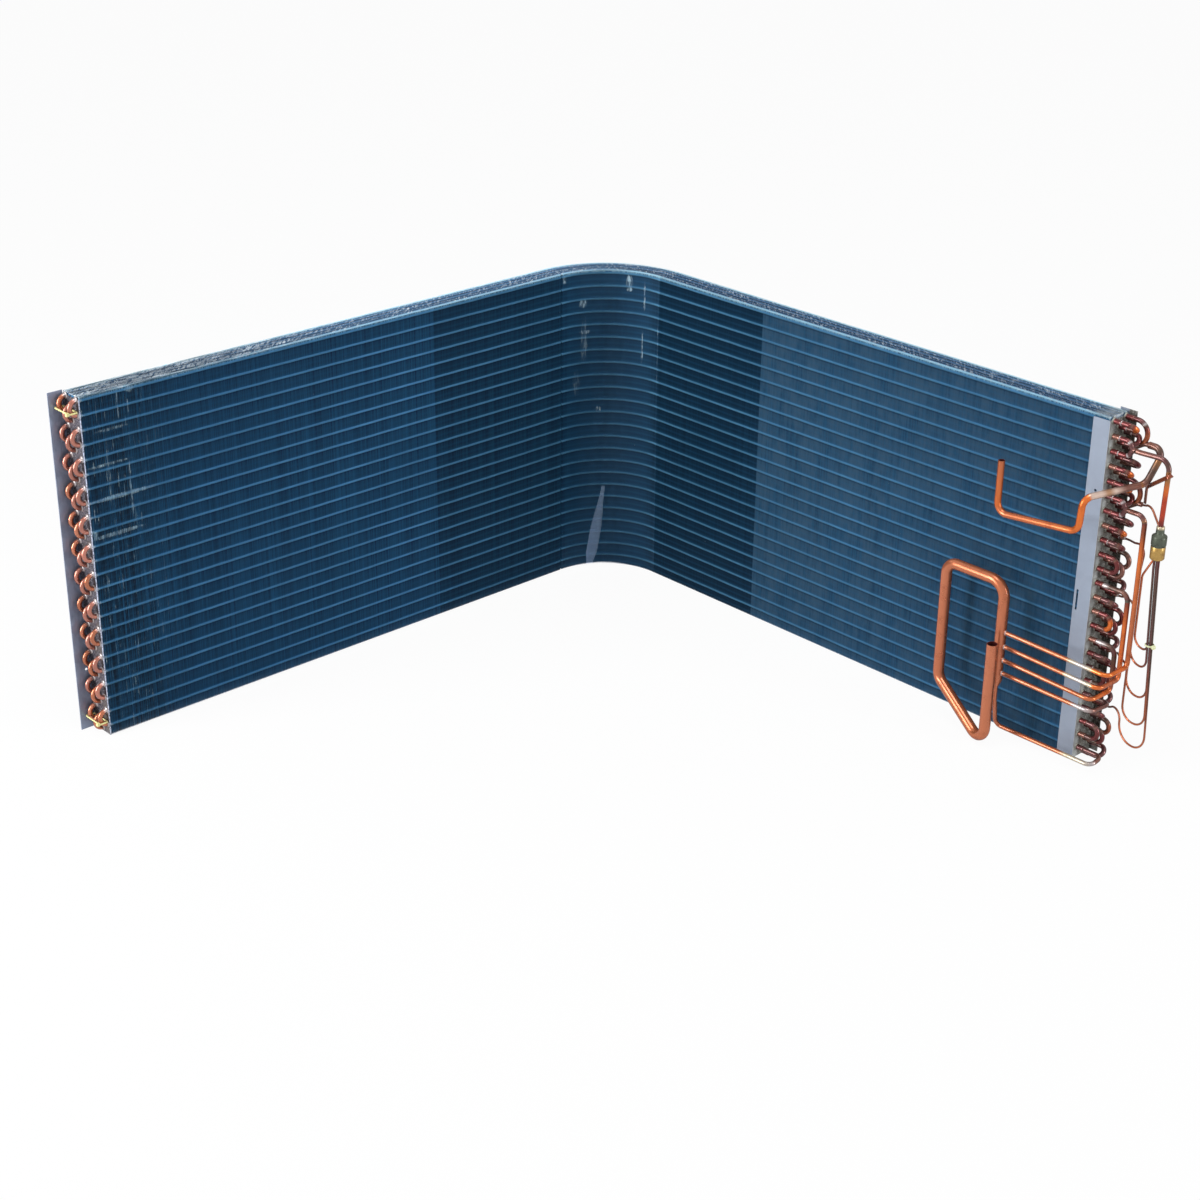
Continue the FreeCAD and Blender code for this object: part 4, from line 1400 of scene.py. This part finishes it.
@dataclass
class ReturnBends:
    """The brazed bends at the right end, with the belled tube ends that take them.

    bell_ends and bell_radii are the distances and radii of a belled end's rings, in mm.
    """

    layout: Layout
    metal: bpy.types.Material
    reach: float = 31.0 * MM
    inner_reach: float = 27.5 * MM
    bell_ends: tuple[float, ...] = (0.0, 2.0, 8.0, 9.5, 12.0, 12.9, 13.8)
    bell_radii: tuple[float, ...] = (3.75, 3.8, 3.8, 4.0, 4.0, 3.8, 3.4)

    def bend(self, first: tuple[int, int], second: tuple[int, int], reach: float,
             leg: Tone, crest: Tone) -> Piece:
        """One bend between two tube ends.

        Args:
            first: Row and number of a tube.
            second: Row and number of the other tube.
            reach: Distance of the arc's start from the sheet.
            leg: Tone of the legs.
            crest: Tone of the arc's crest.

        Returns:
            The bend.
        """
        a, b = self.layout.right_foot(*first), self.layout.right_foot(*second)
        points = [a, a + OUT * reach, b + OUT * reach, b]
        tones = stops(f"0 {leg.name} 13 {leg.name} 15 UMBER 17 MAUVE 21 {leg.name} 34 {crest.name} "
                      f"66 {crest.name} 79 {leg.name} 83 MAUVE 85 UMBER 100 {leg.name}")
        return BentTube(points, self.layout.tube_radius, (b - a).length / 2).build("bend", tones)

    def bells(self) -> Piece:
        """The widened tube ends with their braze rings.

        Returns:
            The tube ends as one piece.
        """
        feet = [self.layout.right_foot(row, number) for row, number in self.layout.grid()]
        u, c = Tone.UMBER, Tone.CLARET
        tones = (u, c, c, c, Tone.PLUM, Tone.SILVER, u)
        ring = Turned(list(zip(self.bell_ends, self.bell_radii, tones)))
        made = repeated(ring.build("bell", feet[0], OUT), feet)
        dice = random.Random(11)
        for twin in made[1:]:
            bead = dice.choice((u, Tone.MAUVE, Tone.PLUM, Tone.SILVER))
            sleeve = dice.choice((c, c, Tone.PLUM, Tone.MAUVE))
            paint(twin, rings([tone.value for tone in (u, *[sleeve] * 4, bead, u)], ring.sides))
        return join(made, "tube_bells")

    def build(self) -> None:
        """Build the bends row by row, then the crossovers and the bells."""
        lay = self.layout
        dice = random.Random(3)
        p, c, o = Tone.PLUM, Tone.CLARET, Tone.ORANGE
        legs = (p, c, c, Tone.UMBER)
        crests = (Tone.BURNT, c, o, Tone.MAUVE, c)
        for row, name in enumerate(lay.rows, start=1):
            made = [self.bend((row, s + 1), (row, s + 2), self.reach, dice.choice(legs),
                              dice.choice(crests)) for s in lay.single_starts]
            piece = join(made, f"returns_{name}")
            finish_piece(piece, self.metal, "heated_copper", f"return_bends_{name}")
        front, rear = [], []
        for s in lay.forked_starts:
            front.append(self.bend((1, s), (2, s), self.reach, c, o))
            front.append(self.bend((1, s + 3), (2, s + 3), self.reach, c, o))
            rear.append(self.bend((2, s + 1), (3, s + 1), self.inner_reach, p, c))
            rear.append(self.bend((2, s + 2), (3, s + 3), self.reach, p, c))
        for s in lay.single_starts:
            front.append(self.bend((1, s), (2, s), self.reach, p, c))
            rear.append(self.bend((2, s + 3), (3, s + 3), self.reach, c, p))
        for made, side in ((front, "front"), (rear, "rear")):
            piece = join(made, f"crossovers_{side}")
            finish_piece(piece, self.metal, "heated_copper", f"crossover_bends_{side}")
        finish_piece(self.bells(), self.metal, "heated_copper")


@dataclass
class Forks:
    """The four pieces that join two circuits into one outlet."""

    layout: Layout
    metal: bpy.types.Material
    front_start: float = 28.0 * MM
    rear_start: float = 13.0 * MM
    meet: float = 33.0 * MM
    end: float = 40.0 * MM
    ring_radius: float = 17.0 * MM
    apex: float = 35.6 * MM
    outlet_drop: float = 8.25 * MM
    front_bends: tuple[float, float] = (9 * MM, 7 * MM)
    rear_bend: float = 12 * MM

    def outlet(self, row: int, number: int) -> Vector:
        """Find the middle of a fork's outlet.

        Args:
            row: The fork's row, 1 for a front fork.
            number: The upper of its two tubes.

        Returns:
            The point.
        """
        lay = self.layout
        span, drop = (1, 0.0) if row == 1 else (2, self.outlet_drop)
        middle = (lay.level(row, number) + lay.level(row, number + span)) / 2
        return lay.right(self.end, row, middle - drop)

    def front(self, upper: int, place: str) -> None:
        """Build two tube ends of the inner row that run together.

        Args:
            upper: Number of the upper tube.
            place: The end of the fork's name.
        """
        lay = self.layout
        out = self.outlet(1, upper)
        tones = stops("0 CLARET 30 CLARET 34 SILVER 42 SILVER 46 PLUM 70 PLUM 100 MAUVE")
        made = []
        for number in (upper, upper + 1):
            foot = lay.right_foot(1, number)
            points = [foot, foot + OUT * self.front_start, lay.right(self.meet, 1, out.z), out]
            tube = BentTube(points, lay.tube_radius, list(self.front_bends))
            made.append(tube.build("leg", tones))
        piece = join(made, f"fork_front_{place}")
        finish_piece(piece, self.metal, "heated_copper", f"front_fork_{place}")

    def rear(self, start: int, place: str) -> None:
        """Build a wide ring that comes down on the pipe two places lower.

        Args:
            start: Number of the tube that the ring leaves.
            place: The end of the fork's name.
        """
        lay = self.layout
        radius = lay.tube_radius
        top, low = lay.right_foot(3, start), lay.right_foot(3, start + 2)
        back = top.z - 2 * self.ring_radius
        out = self.outlet(3, start)
        arch = BentTube([top, top + OUT * self.apex, lay.right(self.apex, 3, back),
                         lay.right(self.rear_start, 3, back)], radius, self.ring_radius)
        pipe = BentTube([low, low + OUT * self.rear_start, lay.right(self.meet, 3, out.z), out],
                        radius, self.rear_bend)
        around = stops("0 CLARET 12 PLUM 16 SILVER 20 UMBER 26 CLARET 45 BURNT 62 COPPER "
                       "80 UMBER 100 MAUVE")
        along = stops("0 UMBER 30 SILVER 40 UMBER 100 MAUVE")
        piece = join([arch.build("arch", around), pipe.build("pipe", along)], f"fork_rear_{place}")
        finish_piece(piece, self.metal, "heated_copper", f"rear_fork_{place}")

    def build(self) -> None:
        """Build the four forks."""
        self.front(2, "upper")
        self.front(6, "lower")
        self.rear(1, "upper")
        self.rear(5, "lower")


@dataclass
class LiquidSide:
    """The open liquid pipe, the inlet pipe, the distributor and its brace strap.

    way holds the liquid pipe's corners after the first two: across the right sheet's face, behind
    the coil's inner face and up, in mm. turned holds the distributor's rings: distance from its
    foot and radius, in mm, and tone.
    """

    layout: Layout
    forks: Forks
    metal: bpy.types.Material
    radius: float = 4.76 * MM
    bore: float = 3.96 * MM
    out: float = 63.3 * MM
    way: tuple[Triple, ...] = ((50.3, 20.1, 421.6), (9.6, -58.0, 410.3), (6.4, -58.0, 361.5),
                               (-124.5, -58.0, 348.5), (-124.5, -58.0, 424.0))
    inlet_x: float = 88.5 * MM
    lean: float = 2.0 * MM
    top: float = 378.0 * MM
    length: float = 47.0 * MM
    hook: float = 451 * MM
    knee: float = 412 * MM
    strap: tuple[float, float] = (5.4 * MM, 2.0 * MM)
    strap_bend: float = 2.5 * MM
    hook_end: float = 9 * MM
    turned: str = (
        "0 7.6 GOLD 0.3 8.4 GOLD 1.6 9.6 GOLD 2.2 9.8 GOLD 12 9.8 GOLD 18.6 9.8 GOLD 19.2 9.4 FLUX "
        "20 9.4 FLUX 20.8 10 FLUX 21.6 10.2 FLUX 27 10.2 FLUX 32.6 10.2 FLUX 33.6 9.7 FLUX "
        "36 6.2 FLUX 37 5.7 FLUX 42 5.5 FLUX 45.6 5.5 CREAM 46.6 5 CREAM 47 3.6 CREAM")

    @property
    def foot(self) -> float:
        """Height of the distributor's foot."""
        return self.top - self.length

    def liquid_pipe(self) -> Piece:
        """From the coil's upper ring back, across the end, down and up to the open end.

        Returns:
            The pipe.
        """
        lay = self.layout
        outlet = self.forks.outlet(3, 1)
        turn = Vector((lay.at(lay.right_face + self.out, 0, 0).x, outlet.y, outlet.z))
        way = [lay.at(lay.right_face + x * MM, y * MM, z * MM) for x, y, z in self.way]
        points = [outlet, turn, *way]
        # The pale pearl stops from 32.5 to 36 percent are a painted highlight on the crossing.
        tones = stops("0 MAUVE 5 UMBER 12 PLUM 15 MAUVE 17 BRONZE 19 UMBER 24 MAUVE 27 BRONZE "
                      "28 MAUVE 31 MAUVE 32.5 PEARL 33.5 BRONZE 34.5 PEARL 36 PEARL 37 ORANGE "
                      "55 ORANGE 75 COPPER 92 ORANGE 100 COPPER")
        bends = [11.5 * MM] + [15.0 * MM] * 4
        tube = BentTube(points, self.radius, bends, sides=24, step=7.5, bore=self.bore)
        return tube.build("liquid_line", tones)

    def inlet(self) -> Piece:
        """From the upper front fork out and down to the distributor's neck.

        Returns:
            The pipe.
        """
        lay = self.layout
        start = self.forks.outlet(1, 2)
        x = lay.at(lay.right_face + self.inlet_x, 0, 0).x
        corner = Vector((x + self.lean, start.y, start.z + self.lean))
        foot = Vector((x, start.y, self.top))
        points = [start, start + OUT * 6 * MM, corner, foot + UP * 6 * MM, foot]
        tones = stops("0 MAUVE 20 PLUM 40 UMBER 52 PLUM 58 UMBER 66 MAUVE 70 BRONZE 75 BRONZE "
                      "80 ORANGE 86 RED 94 RED 100 CLARET")
        return BentTube(points, lay.tube_radius, 15 * MM).build("inlet_line", tones)

    def distributor(self) -> Piece:
        """The turned brass distributor, with flux on its neck and crown.

        Returns:
            The distributor.
        """
        lay = self.layout
        foot = lay.at(lay.right_face + self.inlet_x, lay.depth(1), self.foot)
        return Turned(stations(self.turned), sides=40).build("distributor_body", foot, UP)

    def brace(self) -> Piece:
        """The flattened strap that hooks round the inlet pipe.

        Returns:
            The strap.
        """
        lay = self.layout
        fork = self.forks.outlet(3, 5)
        pipe = lay.at(lay.right_face + self.inlet_x + self.lean, lay.depth(1), self.hook)
        low = fork + Vector((4.0, 0.0, 3.2)) * MM
        knee = Vector((low.x, low.y, self.knee))
        gap = lay.tube_radius + self.strap[1] / 2 + 0.85 * MM
        across = Vector((pipe.x - knee.x, pipe.y - knee.y, 0.0))
        slope = across.copy()
        slope.rotate(Matrix.Rotation(-math.asin(gap / across.length), 3, "Z"))
        slope.normalize()
        aside = Vector((slope.y, -slope.x, 0.0))
        high = pipe + aside * gap + slope * (gap * (1 - aside.x) / slope.x)
        points = [low, knee, high, high + BACK * self.hook_end]
        strap = Ribbon(points, slope, *self.strap, self.strap_bend).build("strap")
        tones = stops("0 MAUVE 34 MAUVE 39 BURNT 100 BURNT")
        rise = high.z - low.z
        paint(strap, [tone_at(tones, (v.co.z - low.z) / rise) for v in strap.data.vertices])
        return strap

    def build(self) -> None:
        """Build and dress the liquid side."""
        for build, node in ((self.liquid_pipe, "liquid_pipe"),
                            (self.inlet, "distributor_inlet_pipe"), (self.brace, "brace_strap")):
            finish_piece(build(), self.metal, "heated_copper", node)
        brass = Copper("brass", metal=0.7, stain_scale=160.0, staining=0.9, film=0.2).material()
        finish_piece(self.distributor(), brass, "brass", "distributor")


@dataclass
class Capillaries:
    """Five thin tubes that hang in long loops from the distributor, and the stubs that four feed.

    For each tube: angles is its place round the bundle, bottoms the height of its loop in mm, near
    the share of the loop that the first arc takes, and legs the place of its left leg in mm.
    """

    layout: Layout
    liquid: LiquidSide
    metal: bpy.types.Material
    radius: float = 1.5 * MM
    bend: float = 13.5 * MM
    bundle: float = 3.3 * MM
    lean: float = 0.0467
    arcs: float = 0.92
    angles: tuple[int, ...] = (180, 252, 108, 324, 36)
    bottoms: tuple[float, ...] = (197.5, 172.0, 122.5, 84.5, 46.2)
    near: tuple[float, ...] = (0.32, 0.38, 0.45, 0.46, 0.46)
    legs: tuple[tuple[float, float], ...] = ((67.0, 12.0), (62.0, 12.9), (57.0, 20.0), (61.0, 12.5),
                                             (53.5, 22.0))
    stub: str = ("0 3.5 UMBER 11 3.5 PLUM 15.5 3.5 PLUM 17 3.325 MAUVE 19.5 2.38 MAUVE "
                 "21 1.96 SILVER 22 1.75 SILVER")
    stub_length: float = 22.0 * MM

    def bundled(self, index: int, height: float) -> Vector:
        """Find a tube's place in the bundle.

        Args:
            index: The tube, from 0.
            height: Height in the frame.

        Returns:
            The middle of the tube there.
        """
        lay = self.layout
        reach = lay.right_face + self.liquid.inlet_x + self.lean * (self.liquid.foot - height)
        angle = math.radians(self.angles[index])
        return lay.at(reach + self.bundle * math.cos(angle),
                      lay.depth(1) + self.bundle * math.sin(angle), height)

    def leg(self, index: int, height: float) -> Vector:
        """A point of a loop's left leg."""
        reach, depth = self.legs[index]
        return self.layout.at(self.layout.right_face + reach * MM, depth * MM, height)

    def tails(self) -> list[list[Vector]]:
        """Way points from each loop's left leg to the tube that it feeds.

        Returns:
            The way points of each of the five tubes.
        """
        lay = self.layout
        foot = self.liquid.foot
        fork = self.liquid.forks.outlet(3, 5)
        around = lay.depth(1) + 14.7 * MM
        body = lay.right_face + self.liquid.inlet_x - 8.7 * MM
        stubs = [lay.right(self.stub_length, 3, lay.level(3, n)) for n in lay.single_starts]

        def off(end: Vector, x: float, y: float, z: float) -> Vector:
            """A point beside an end, in mm."""
            return end + Vector((x, y, z)) * MM

        first = [self.leg(0, foot - 32 * MM), lay.at(body, around, foot),
                 lay.at(body, around, foot + 34 * MM), off(fork, 16, -5, 7), fork]
        second = [self.leg(1, stubs[0].z - 30 * MM), off(self.leg(1, stubs[0].z), 1, 6.5, 8),
                  off(stubs[0], 20, -9, 3), stubs[0]]
        third = [self.leg(2, stubs[1].z + 4 * MM), off(stubs[1], 12, -3, 4), stubs[1]]
        fourth = [self.leg(3, stubs[2].z + 2 * MM), off(stubs[2], 26, -18.4, 5),
                  off(stubs[2], 10, -2, 2), stubs[2]]
        fifth = [self.leg(4, stubs[3].z + 8 * MM), off(stubs[3], 14, -4, 6), stubs[3]]
        return [first, second, third, fourth, fifth]

    def build(self) -> None:
        """Build the five tubes and the stubs."""
        tones = (stops("0 CLARET 6 UMBER 20 UMBER 28 BURNT 34 COPPER 70 COPPER 100 MAUVE"),
                 stops("0 PLUM 6 UMBER 18 PLUM 26 BURNT 45 COPPER 80 BURNT 100 PLUM"))
        for index, tail in enumerate(self.tails()):
            low = self.bottoms[index] * MM
            start, turn = self.bundled(index, self.liquid.foot), self.bundled(index, low)
            rise = self.leg(index, low)
            width = (turn - rise).length
            near = self.near[index] * width
            end = tail[-1]
            points = [start, start - UP * 14 * MM, turn, rise, *tail[:-1], end + OUT * 6 * MM, end]
            bends = [self.bend, near, self.arcs * width - near] + [self.bend] * len(tail)
            tube = BentTube(points, self.radius, bends, sides=12, step=10.0)
            piece = tube.build(f"capillary_line_{index + 1}", tones[index % 2])
            finish_piece(piece, self.metal, "heated_copper", f"capillary_{index + 1}")
        feet = [self.layout.right_foot(3, number) for number in self.layout.single_starts]
        stub = Turned(stations(self.stub)).build("stub", feet[0], OUT)
        piece = join(repeated(stub, feet), "stubs")
        finish_piece(piece, self.metal, "heated_copper", "inlet_stubs")


@dataclass
class VapourSide:
    """Risers, branch pipes and the looped header with its open end.

    For each riser and branch pipe: reaches is its distance from the right sheet, lows the height
    of its lower corner and holes that of its hole in the header, all in mm.
    """

    layout: Layout
    forks: Forks
    metal: bpy.types.Material
    reaches: tuple[float, ...] = (64.2, 53.0, 42.8, 44.8, 42.3)
    lows: tuple[float, ...] = (164.0, 141.0, 120.0, 103.0)
    holes: tuple[float, ...] = (168.0, 146.5, 125.6, 105.5)
    branch_radius: float = 3.175 * MM
    branch_bend: float = 10 * MM
    joint: float = -10 * MM
    header_radius: float = 7.94 * MM
    header_bore: float = 6.94 * MM
    header_front: float = 38.0 * MM
    header_x: float = -113.3 * MM
    header_foot: float = 82 * MM
    header_top: float = 241 * MM
    header_left: float = -214.6 * MM
    end: Triple = (-105.5 * MM, -66 * MM, 160 * MM)
    collar: str = "0 4.575 SALMON 1 4.075 SALMON 2.2 3.775 SILVER 3 3.075 SILVER"
    riser_tones: tuple[str, ...] = (
        "0 MAUVE 8 PLUM 14 MAUVE 20 BRONZE 22.5 UMBER 24 CLARET 34 BURNT 42 ORANGE 70 COPPER "
        "100 ORANGE",
        "0 CLARET 5 SILVER 7 UMBER 20 MAUVE 34 PLUM 37 FLUX 42 FLUX 44 CLARET 56 ORANGE 100 COPPER",
        "0 CLARET 8 SILVER 12 UMBER 30 PLUM 55 UMBER 70 BURNT 100 ORANGE")
    branch_tones: tuple[str, ...] = (
        "0 SALMON 39 COPPER 41 CREAM 47 SILVER 53 CREAM 55 ORANGE 100 ORANGE",
        "0 SALMON 39 COPPER 41 CREAM 49 SILVER 56 CREAM 58 ORANGE 100 COPPER",
        "0 SALMON 50 COPPER 100 ORANGE",
        "0 SALMON 31 COPPER 34 SILVER 50 MAUVE 80 PLUM 100 UMBER",
        "0 SALMON 50 COPPER 52 CREAM 65 SILVER 75 MAUVE 100 PLUM")

    def riser(self, index: int) -> Piece:
        """Build a riser, out of the coil, down and forward to its branch pipe.

        Args:
            index: The riser, from 0.

        Returns:
            The riser.
        """
        lay = self.layout
        start = (self.forks.outlet(1, 6), lay.right_foot(1, 12), lay.right_foot(1, 16))[index]
        low = self.lows[index] * MM
        end = lay.at(lay.right_face + self.reaches[index] * MM, self.joint, low)
        points = [start, Vector((end.x, start.y, start.z)), Vector((end.x, start.y, low)), end]
        tube = BentTube(points, lay.tube_radius, [12 * MM, 7 * MM])
        return tube.build(f"riser_{index + 1}", stops(self.riser_tones[index]))

    def path(self, index: int) -> list[Vector]:
        """Lay out a branch pipe.

        Args:
            index: The pipe, from 0.

        Returns:
            Its corner points, from the header.
        """
        lay = self.layout
        x = lay.right_face + self.reaches[index] * MM
        front = -self.header_front
        if index < 4:
            start = lay.at(lay.right_face + self.header_x + 5 * MM, front, self.holes[index] * MM)
            low = self.lows[index] * MM
            run = [start, start + OUT * 6 * MM, lay.at(x, front, low)]
            if index < 3:
                return run + [lay.at(x, self.joint, low)]
            end = lay.right_foot(1, 20)
            return run + [lay.at(x, lay.depth(1), end.z), end]
        end = lay.right_foot(1, lay.tubes)
        foot = lay.at(lay.right_face + self.header_x, front, self.header_foot)
        near, floor = -19.5 * MM, 12 * MM
        return [foot, foot - UP * 18 * MM, foot + Vector((-8 * MM, -front + near, floor - foot.z)),
                lay.at(x, near, floor), lay.at(x, lay.depth(1), end.z), end]

    def branch(self, index: int) -> Piece:
        """One branch pipe."""
        tube = BentTube(self.path(index), self.branch_radius, self.branch_bend, sides=16)
        return tube.build(f"branch_{index + 1}", stops(self.branch_tones[index]))

    def header(self) -> Piece:
        """The looped header: spun-in foot, wide loop, open upper end.

        Returns:
            The header.
        """
        lay = self.layout
        x, left = lay.right_face + self.header_x, lay.right_face + self.header_left
        end = lay.at(lay.right_face + self.end[0], *self.end[1:])
        front = -self.header_front
        points = [lay.at(x, front, self.header_foot), lay.at(x, front, self.header_top),
                  lay.at(left, front, self.header_top), lay.at(left, front, 60 * MM),
                  Vector((end.x, end.y, -1 * MM)), end]
        bends = [24 * MM] + [17.5 * MM] * 3
        tube = BentTube(points, self.header_radius, bends, sides=28, step=6.0,
                        bore=self.header_bore, depth=45 * MM, tip=(10 * MM, 0.42))
        return tube.build("header", stops("0 SALMON 20 COPPER 45 SALMON 70 COPPER 100 SALMON"))

    def joints(self) -> Piece:
        """The pulled-out collars where the branch pipes enter the header.

        Returns:
            The collars as one piece.
        """
        lay = self.layout
        reach = lay.right_face + self.header_x + 7.2 * MM
        feet = [lay.at(reach, -self.header_front, height * MM) for height in self.holes]
        ring = Turned(stations(self.collar), sides=20).build("joint", feet[0], OUT)
        return join(repeated(ring, feet), "header_joints")

    def build(self) -> None:
        """Build and dress the vapour side."""
        for index in range(3):
            finish_piece(self.riser(index), self.metal, "copper", f"riser_pipe_{index + 1}")
        for index in range(5):
            finish_piece(self.branch(index), self.metal, "copper", f"branch_pipe_{index + 1}")
        finish_piece(self.header(), self.metal, "copper", "vapour_header")
        finish_piece(self.joints(), self.metal, "copper")


@dataclass
class CableTies:
    """Two ties round the outermost hairpins and one round the capillaries."""

    layout: Layout
    capillaries: Capillaries
    width: float = 2.4 * MM
    thickness: float = 1.0 * MM
    lock: Triple = (4.6 * MM, 4.6 * MM, 5.0 * MM)

    def head(self, place: Vector) -> Piece:
        """A tie's locking head, with rounded edges.

        Args:
            place: Its middle.

        Returns:
            The head.
        """
        deselect()
        bpy.ops.mesh.primitive_cube_add(size=1.0, location=place)
        piece = bpy.context.active_object
        piece.scale = self.lock
        return smooth(modify(settle(piece), "BEVEL", width=0.7 * MM, segments=3))

    def hairpin_tie(self, first: int, name: str, node: str) -> None:
        """Build a tie round one hairpin of each row.

        Args:
            first: Number of the hairpin's upper tube.
            name: The piece's name.
            node: The node that it stands for.
        """
        lay = self.layout
        low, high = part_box(node)
        middle = (lay.level(1, first) + lay.level(1, first + 1)) / 2 - 5.25 * MM
        near, far = high.y - self.thickness, low.y + self.thickness
        left, right = low.x + self.thickness / 2, high.x - 5.6 * MM
        ways = ((left + right) / 2, far), (left, far), (left, near), (right, near), (right, far)
        points = [Vector((x, y, middle)) for x, y in (*ways, ways[0])]
        band = Ribbon(points, UP, self.width, self.thickness, 2.0 * MM, closed=True).build("band")
        head = self.head(Vector((right - 2.2 * MM, far - 1.6 * MM, middle)))
        nylon = Nylon(f"{name}_nylon", (0.66, 0.61, 0.27)).material()
        finish_piece(join([band, head], name), nylon, "tie_plastic", node)

    def bundle_tie(self) -> None:
        """The tie round the five capillaries."""
        low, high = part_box("capillary_tie")
        z = (low.z + high.z) / 2
        caps = self.capillaries
        centre = caps.bundled(0, z) + OUT * caps.bundle
        centre.y = self.layout.at(0, self.layout.depth(1), 0).y
        r = caps.bundle + caps.radius + 0.9 * MM
        around = ((0, -r), (r, -r), (r, r), (-r, r), (-r, -r), (0, -r))
        points = [centre + Vector((x, y, 0)) for x, y in around]
        band = Ribbon(points, UP, self.width, self.thickness, r * 0.9, closed=True).build("band")
        head = self.head(Vector((high.x - 2.6 * MM, centre.y - 2.4 * MM, z)))
        nylon = Nylon("bundle_nylon", (0.58, 0.60, 0.36)).material()
        finish_piece(join([band, head], "bundle_tie"), nylon, "tie_plastic", "capillary_tie")

    def build(self) -> None:
        """Build the three ties."""
        self.hairpin_tie(1, "tie_top", "cable_tie_upper")
        self.hairpin_tie(self.layout.tubes - 1, "tie_foot", "cable_tie_lower")
        self.bundle_tie()


# The studio


@dataclass
class Studio:
    """Pale floor, soft lamps and the camera."""

    camera_place: Triple = (1.94274, -1.83805, 1.48544)
    camera_right: Triple = (0.67995628, 0.73319492, 0.0092015)
    camera_down: Triple = (0.31630509, -0.28197012, -0.90578361)
    lens: float = 65.4974
    sensor: float = 36.0
    sky: float = 0.40
    sky_tint: Triple = (0.93, 0.96, 1.0)
    target: Triple = (0.0, 0.0, 0.25)

    def floor(self) -> None:
        """A wide plain floor under the coil."""
        deselect()
        bpy.ops.mesh.primitive_grid_add(x_subdivisions=4, y_subdivisions=4, size=24.0,
                                        location=(0.0, 0.0, -0.0005))
        floor = settle(bpy.context.active_object)
        floor.name = "floor"
        floor.data.materials.append(PaleFloor().material())
        floor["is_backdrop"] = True

    def world(self) -> None:
        """Even light all round, white to the camera."""
        world = bpy.data.worlds.new("studio")
        bpy.context.scene.world = world
        r = Recipe(world)
        soft = r.node("ShaderNodeBackground", {}, {"Color": self.sky_tint, "Strength": self.sky})
        white = r.node("ShaderNodeBackground", {}, {"Color": (1.0, 1.0, 1.0), "Strength": 1.0})
        seen = r.unlit("Camera", "Glossy", "Transmission")
        r.output(r.node("ShaderNodeMixShader", {}, {0: seen, 1: soft, 2: white}))

    def lamp(self, name: str, place: Triple, size: tuple[float, float], power: float) -> None:
        """Hang one soft oblong lamp that faces the coil.

        Args:
            name: The lamp's name.
            place: Where it hangs.
            size: Its width and height.
            power: Its power in watts.
        """
        light = bpy.data.lights.new(name, "AREA")
        light.shape = "RECTANGLE"
        light.size, light.size_y = size
        light.energy = power
        holder = bpy.data.objects.new(name, light)
        bpy.context.scene.collection.objects.link(holder)
        holder.location = place
        aim = Vector(self.target) - Vector(place)
        holder.rotation_euler = aim.to_track_quat("-Z", "Y").to_euler()

    def camera(self) -> None:
        """The camera at the photograph's place and angle."""
        data = bpy.data.cameras.new("camera")
        data.lens = self.lens
        data.sensor_width = self.sensor
        holder = bpy.data.objects.new("camera", data)
        bpy.context.scene.collection.objects.link(holder)
        right, up = Vector(self.camera_right), -Vector(self.camera_down)
        turn = Matrix((right, up, right.cross(up))).transposed()
        holder.matrix_world = Matrix.Translation(Vector(self.camera_place)) @ turn.to_4x4()
        bpy.context.scene.camera = holder

    def build(self) -> None:
        """Build the studio."""
        bpy.context.scene.view_settings.view_transform = "Standard"
        self.floor()
        self.world()
        self.lamp("key", (-1.3, -3.0, 1.1), (1.1, 2.4), 115.0)
        self.lamp("side", (2.9, 1.1, 1.0), (0.4, 1.6), 40.0)
        self.lamp("top", (0.3, -0.4, 3.4), (1.2, 1.2), 40.0)
        self.camera()


def corners() -> list[list[float]]:
    """Lowest and highest corner of what shows, as plain numbers."""
    return [list(corner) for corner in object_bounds()]


def main() -> None:
    """Build the whole scene in order."""
    logging.basicConfig(level=logging.INFO, format="%(message)s")
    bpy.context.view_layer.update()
    layout = Layout()
    metal = Copper().material()
    FinPacks(layout).build()
    TubeSheets(layout).build()
    HairpinBends(layout).build()
    ReturnBends(layout, metal).build()
    forks = Forks(layout, metal)
    forks.build()
    liquid = LiquidSide(layout, forks, metal)
    liquid.build()
    capillaries = Capillaries(layout, liquid, metal)
    capillaries.build()
    VapourSide(layout, forks, metal).build()
    CableTies(layout, capillaries).build()
    Studio().build()


if __name__ == "__main__":
    main()
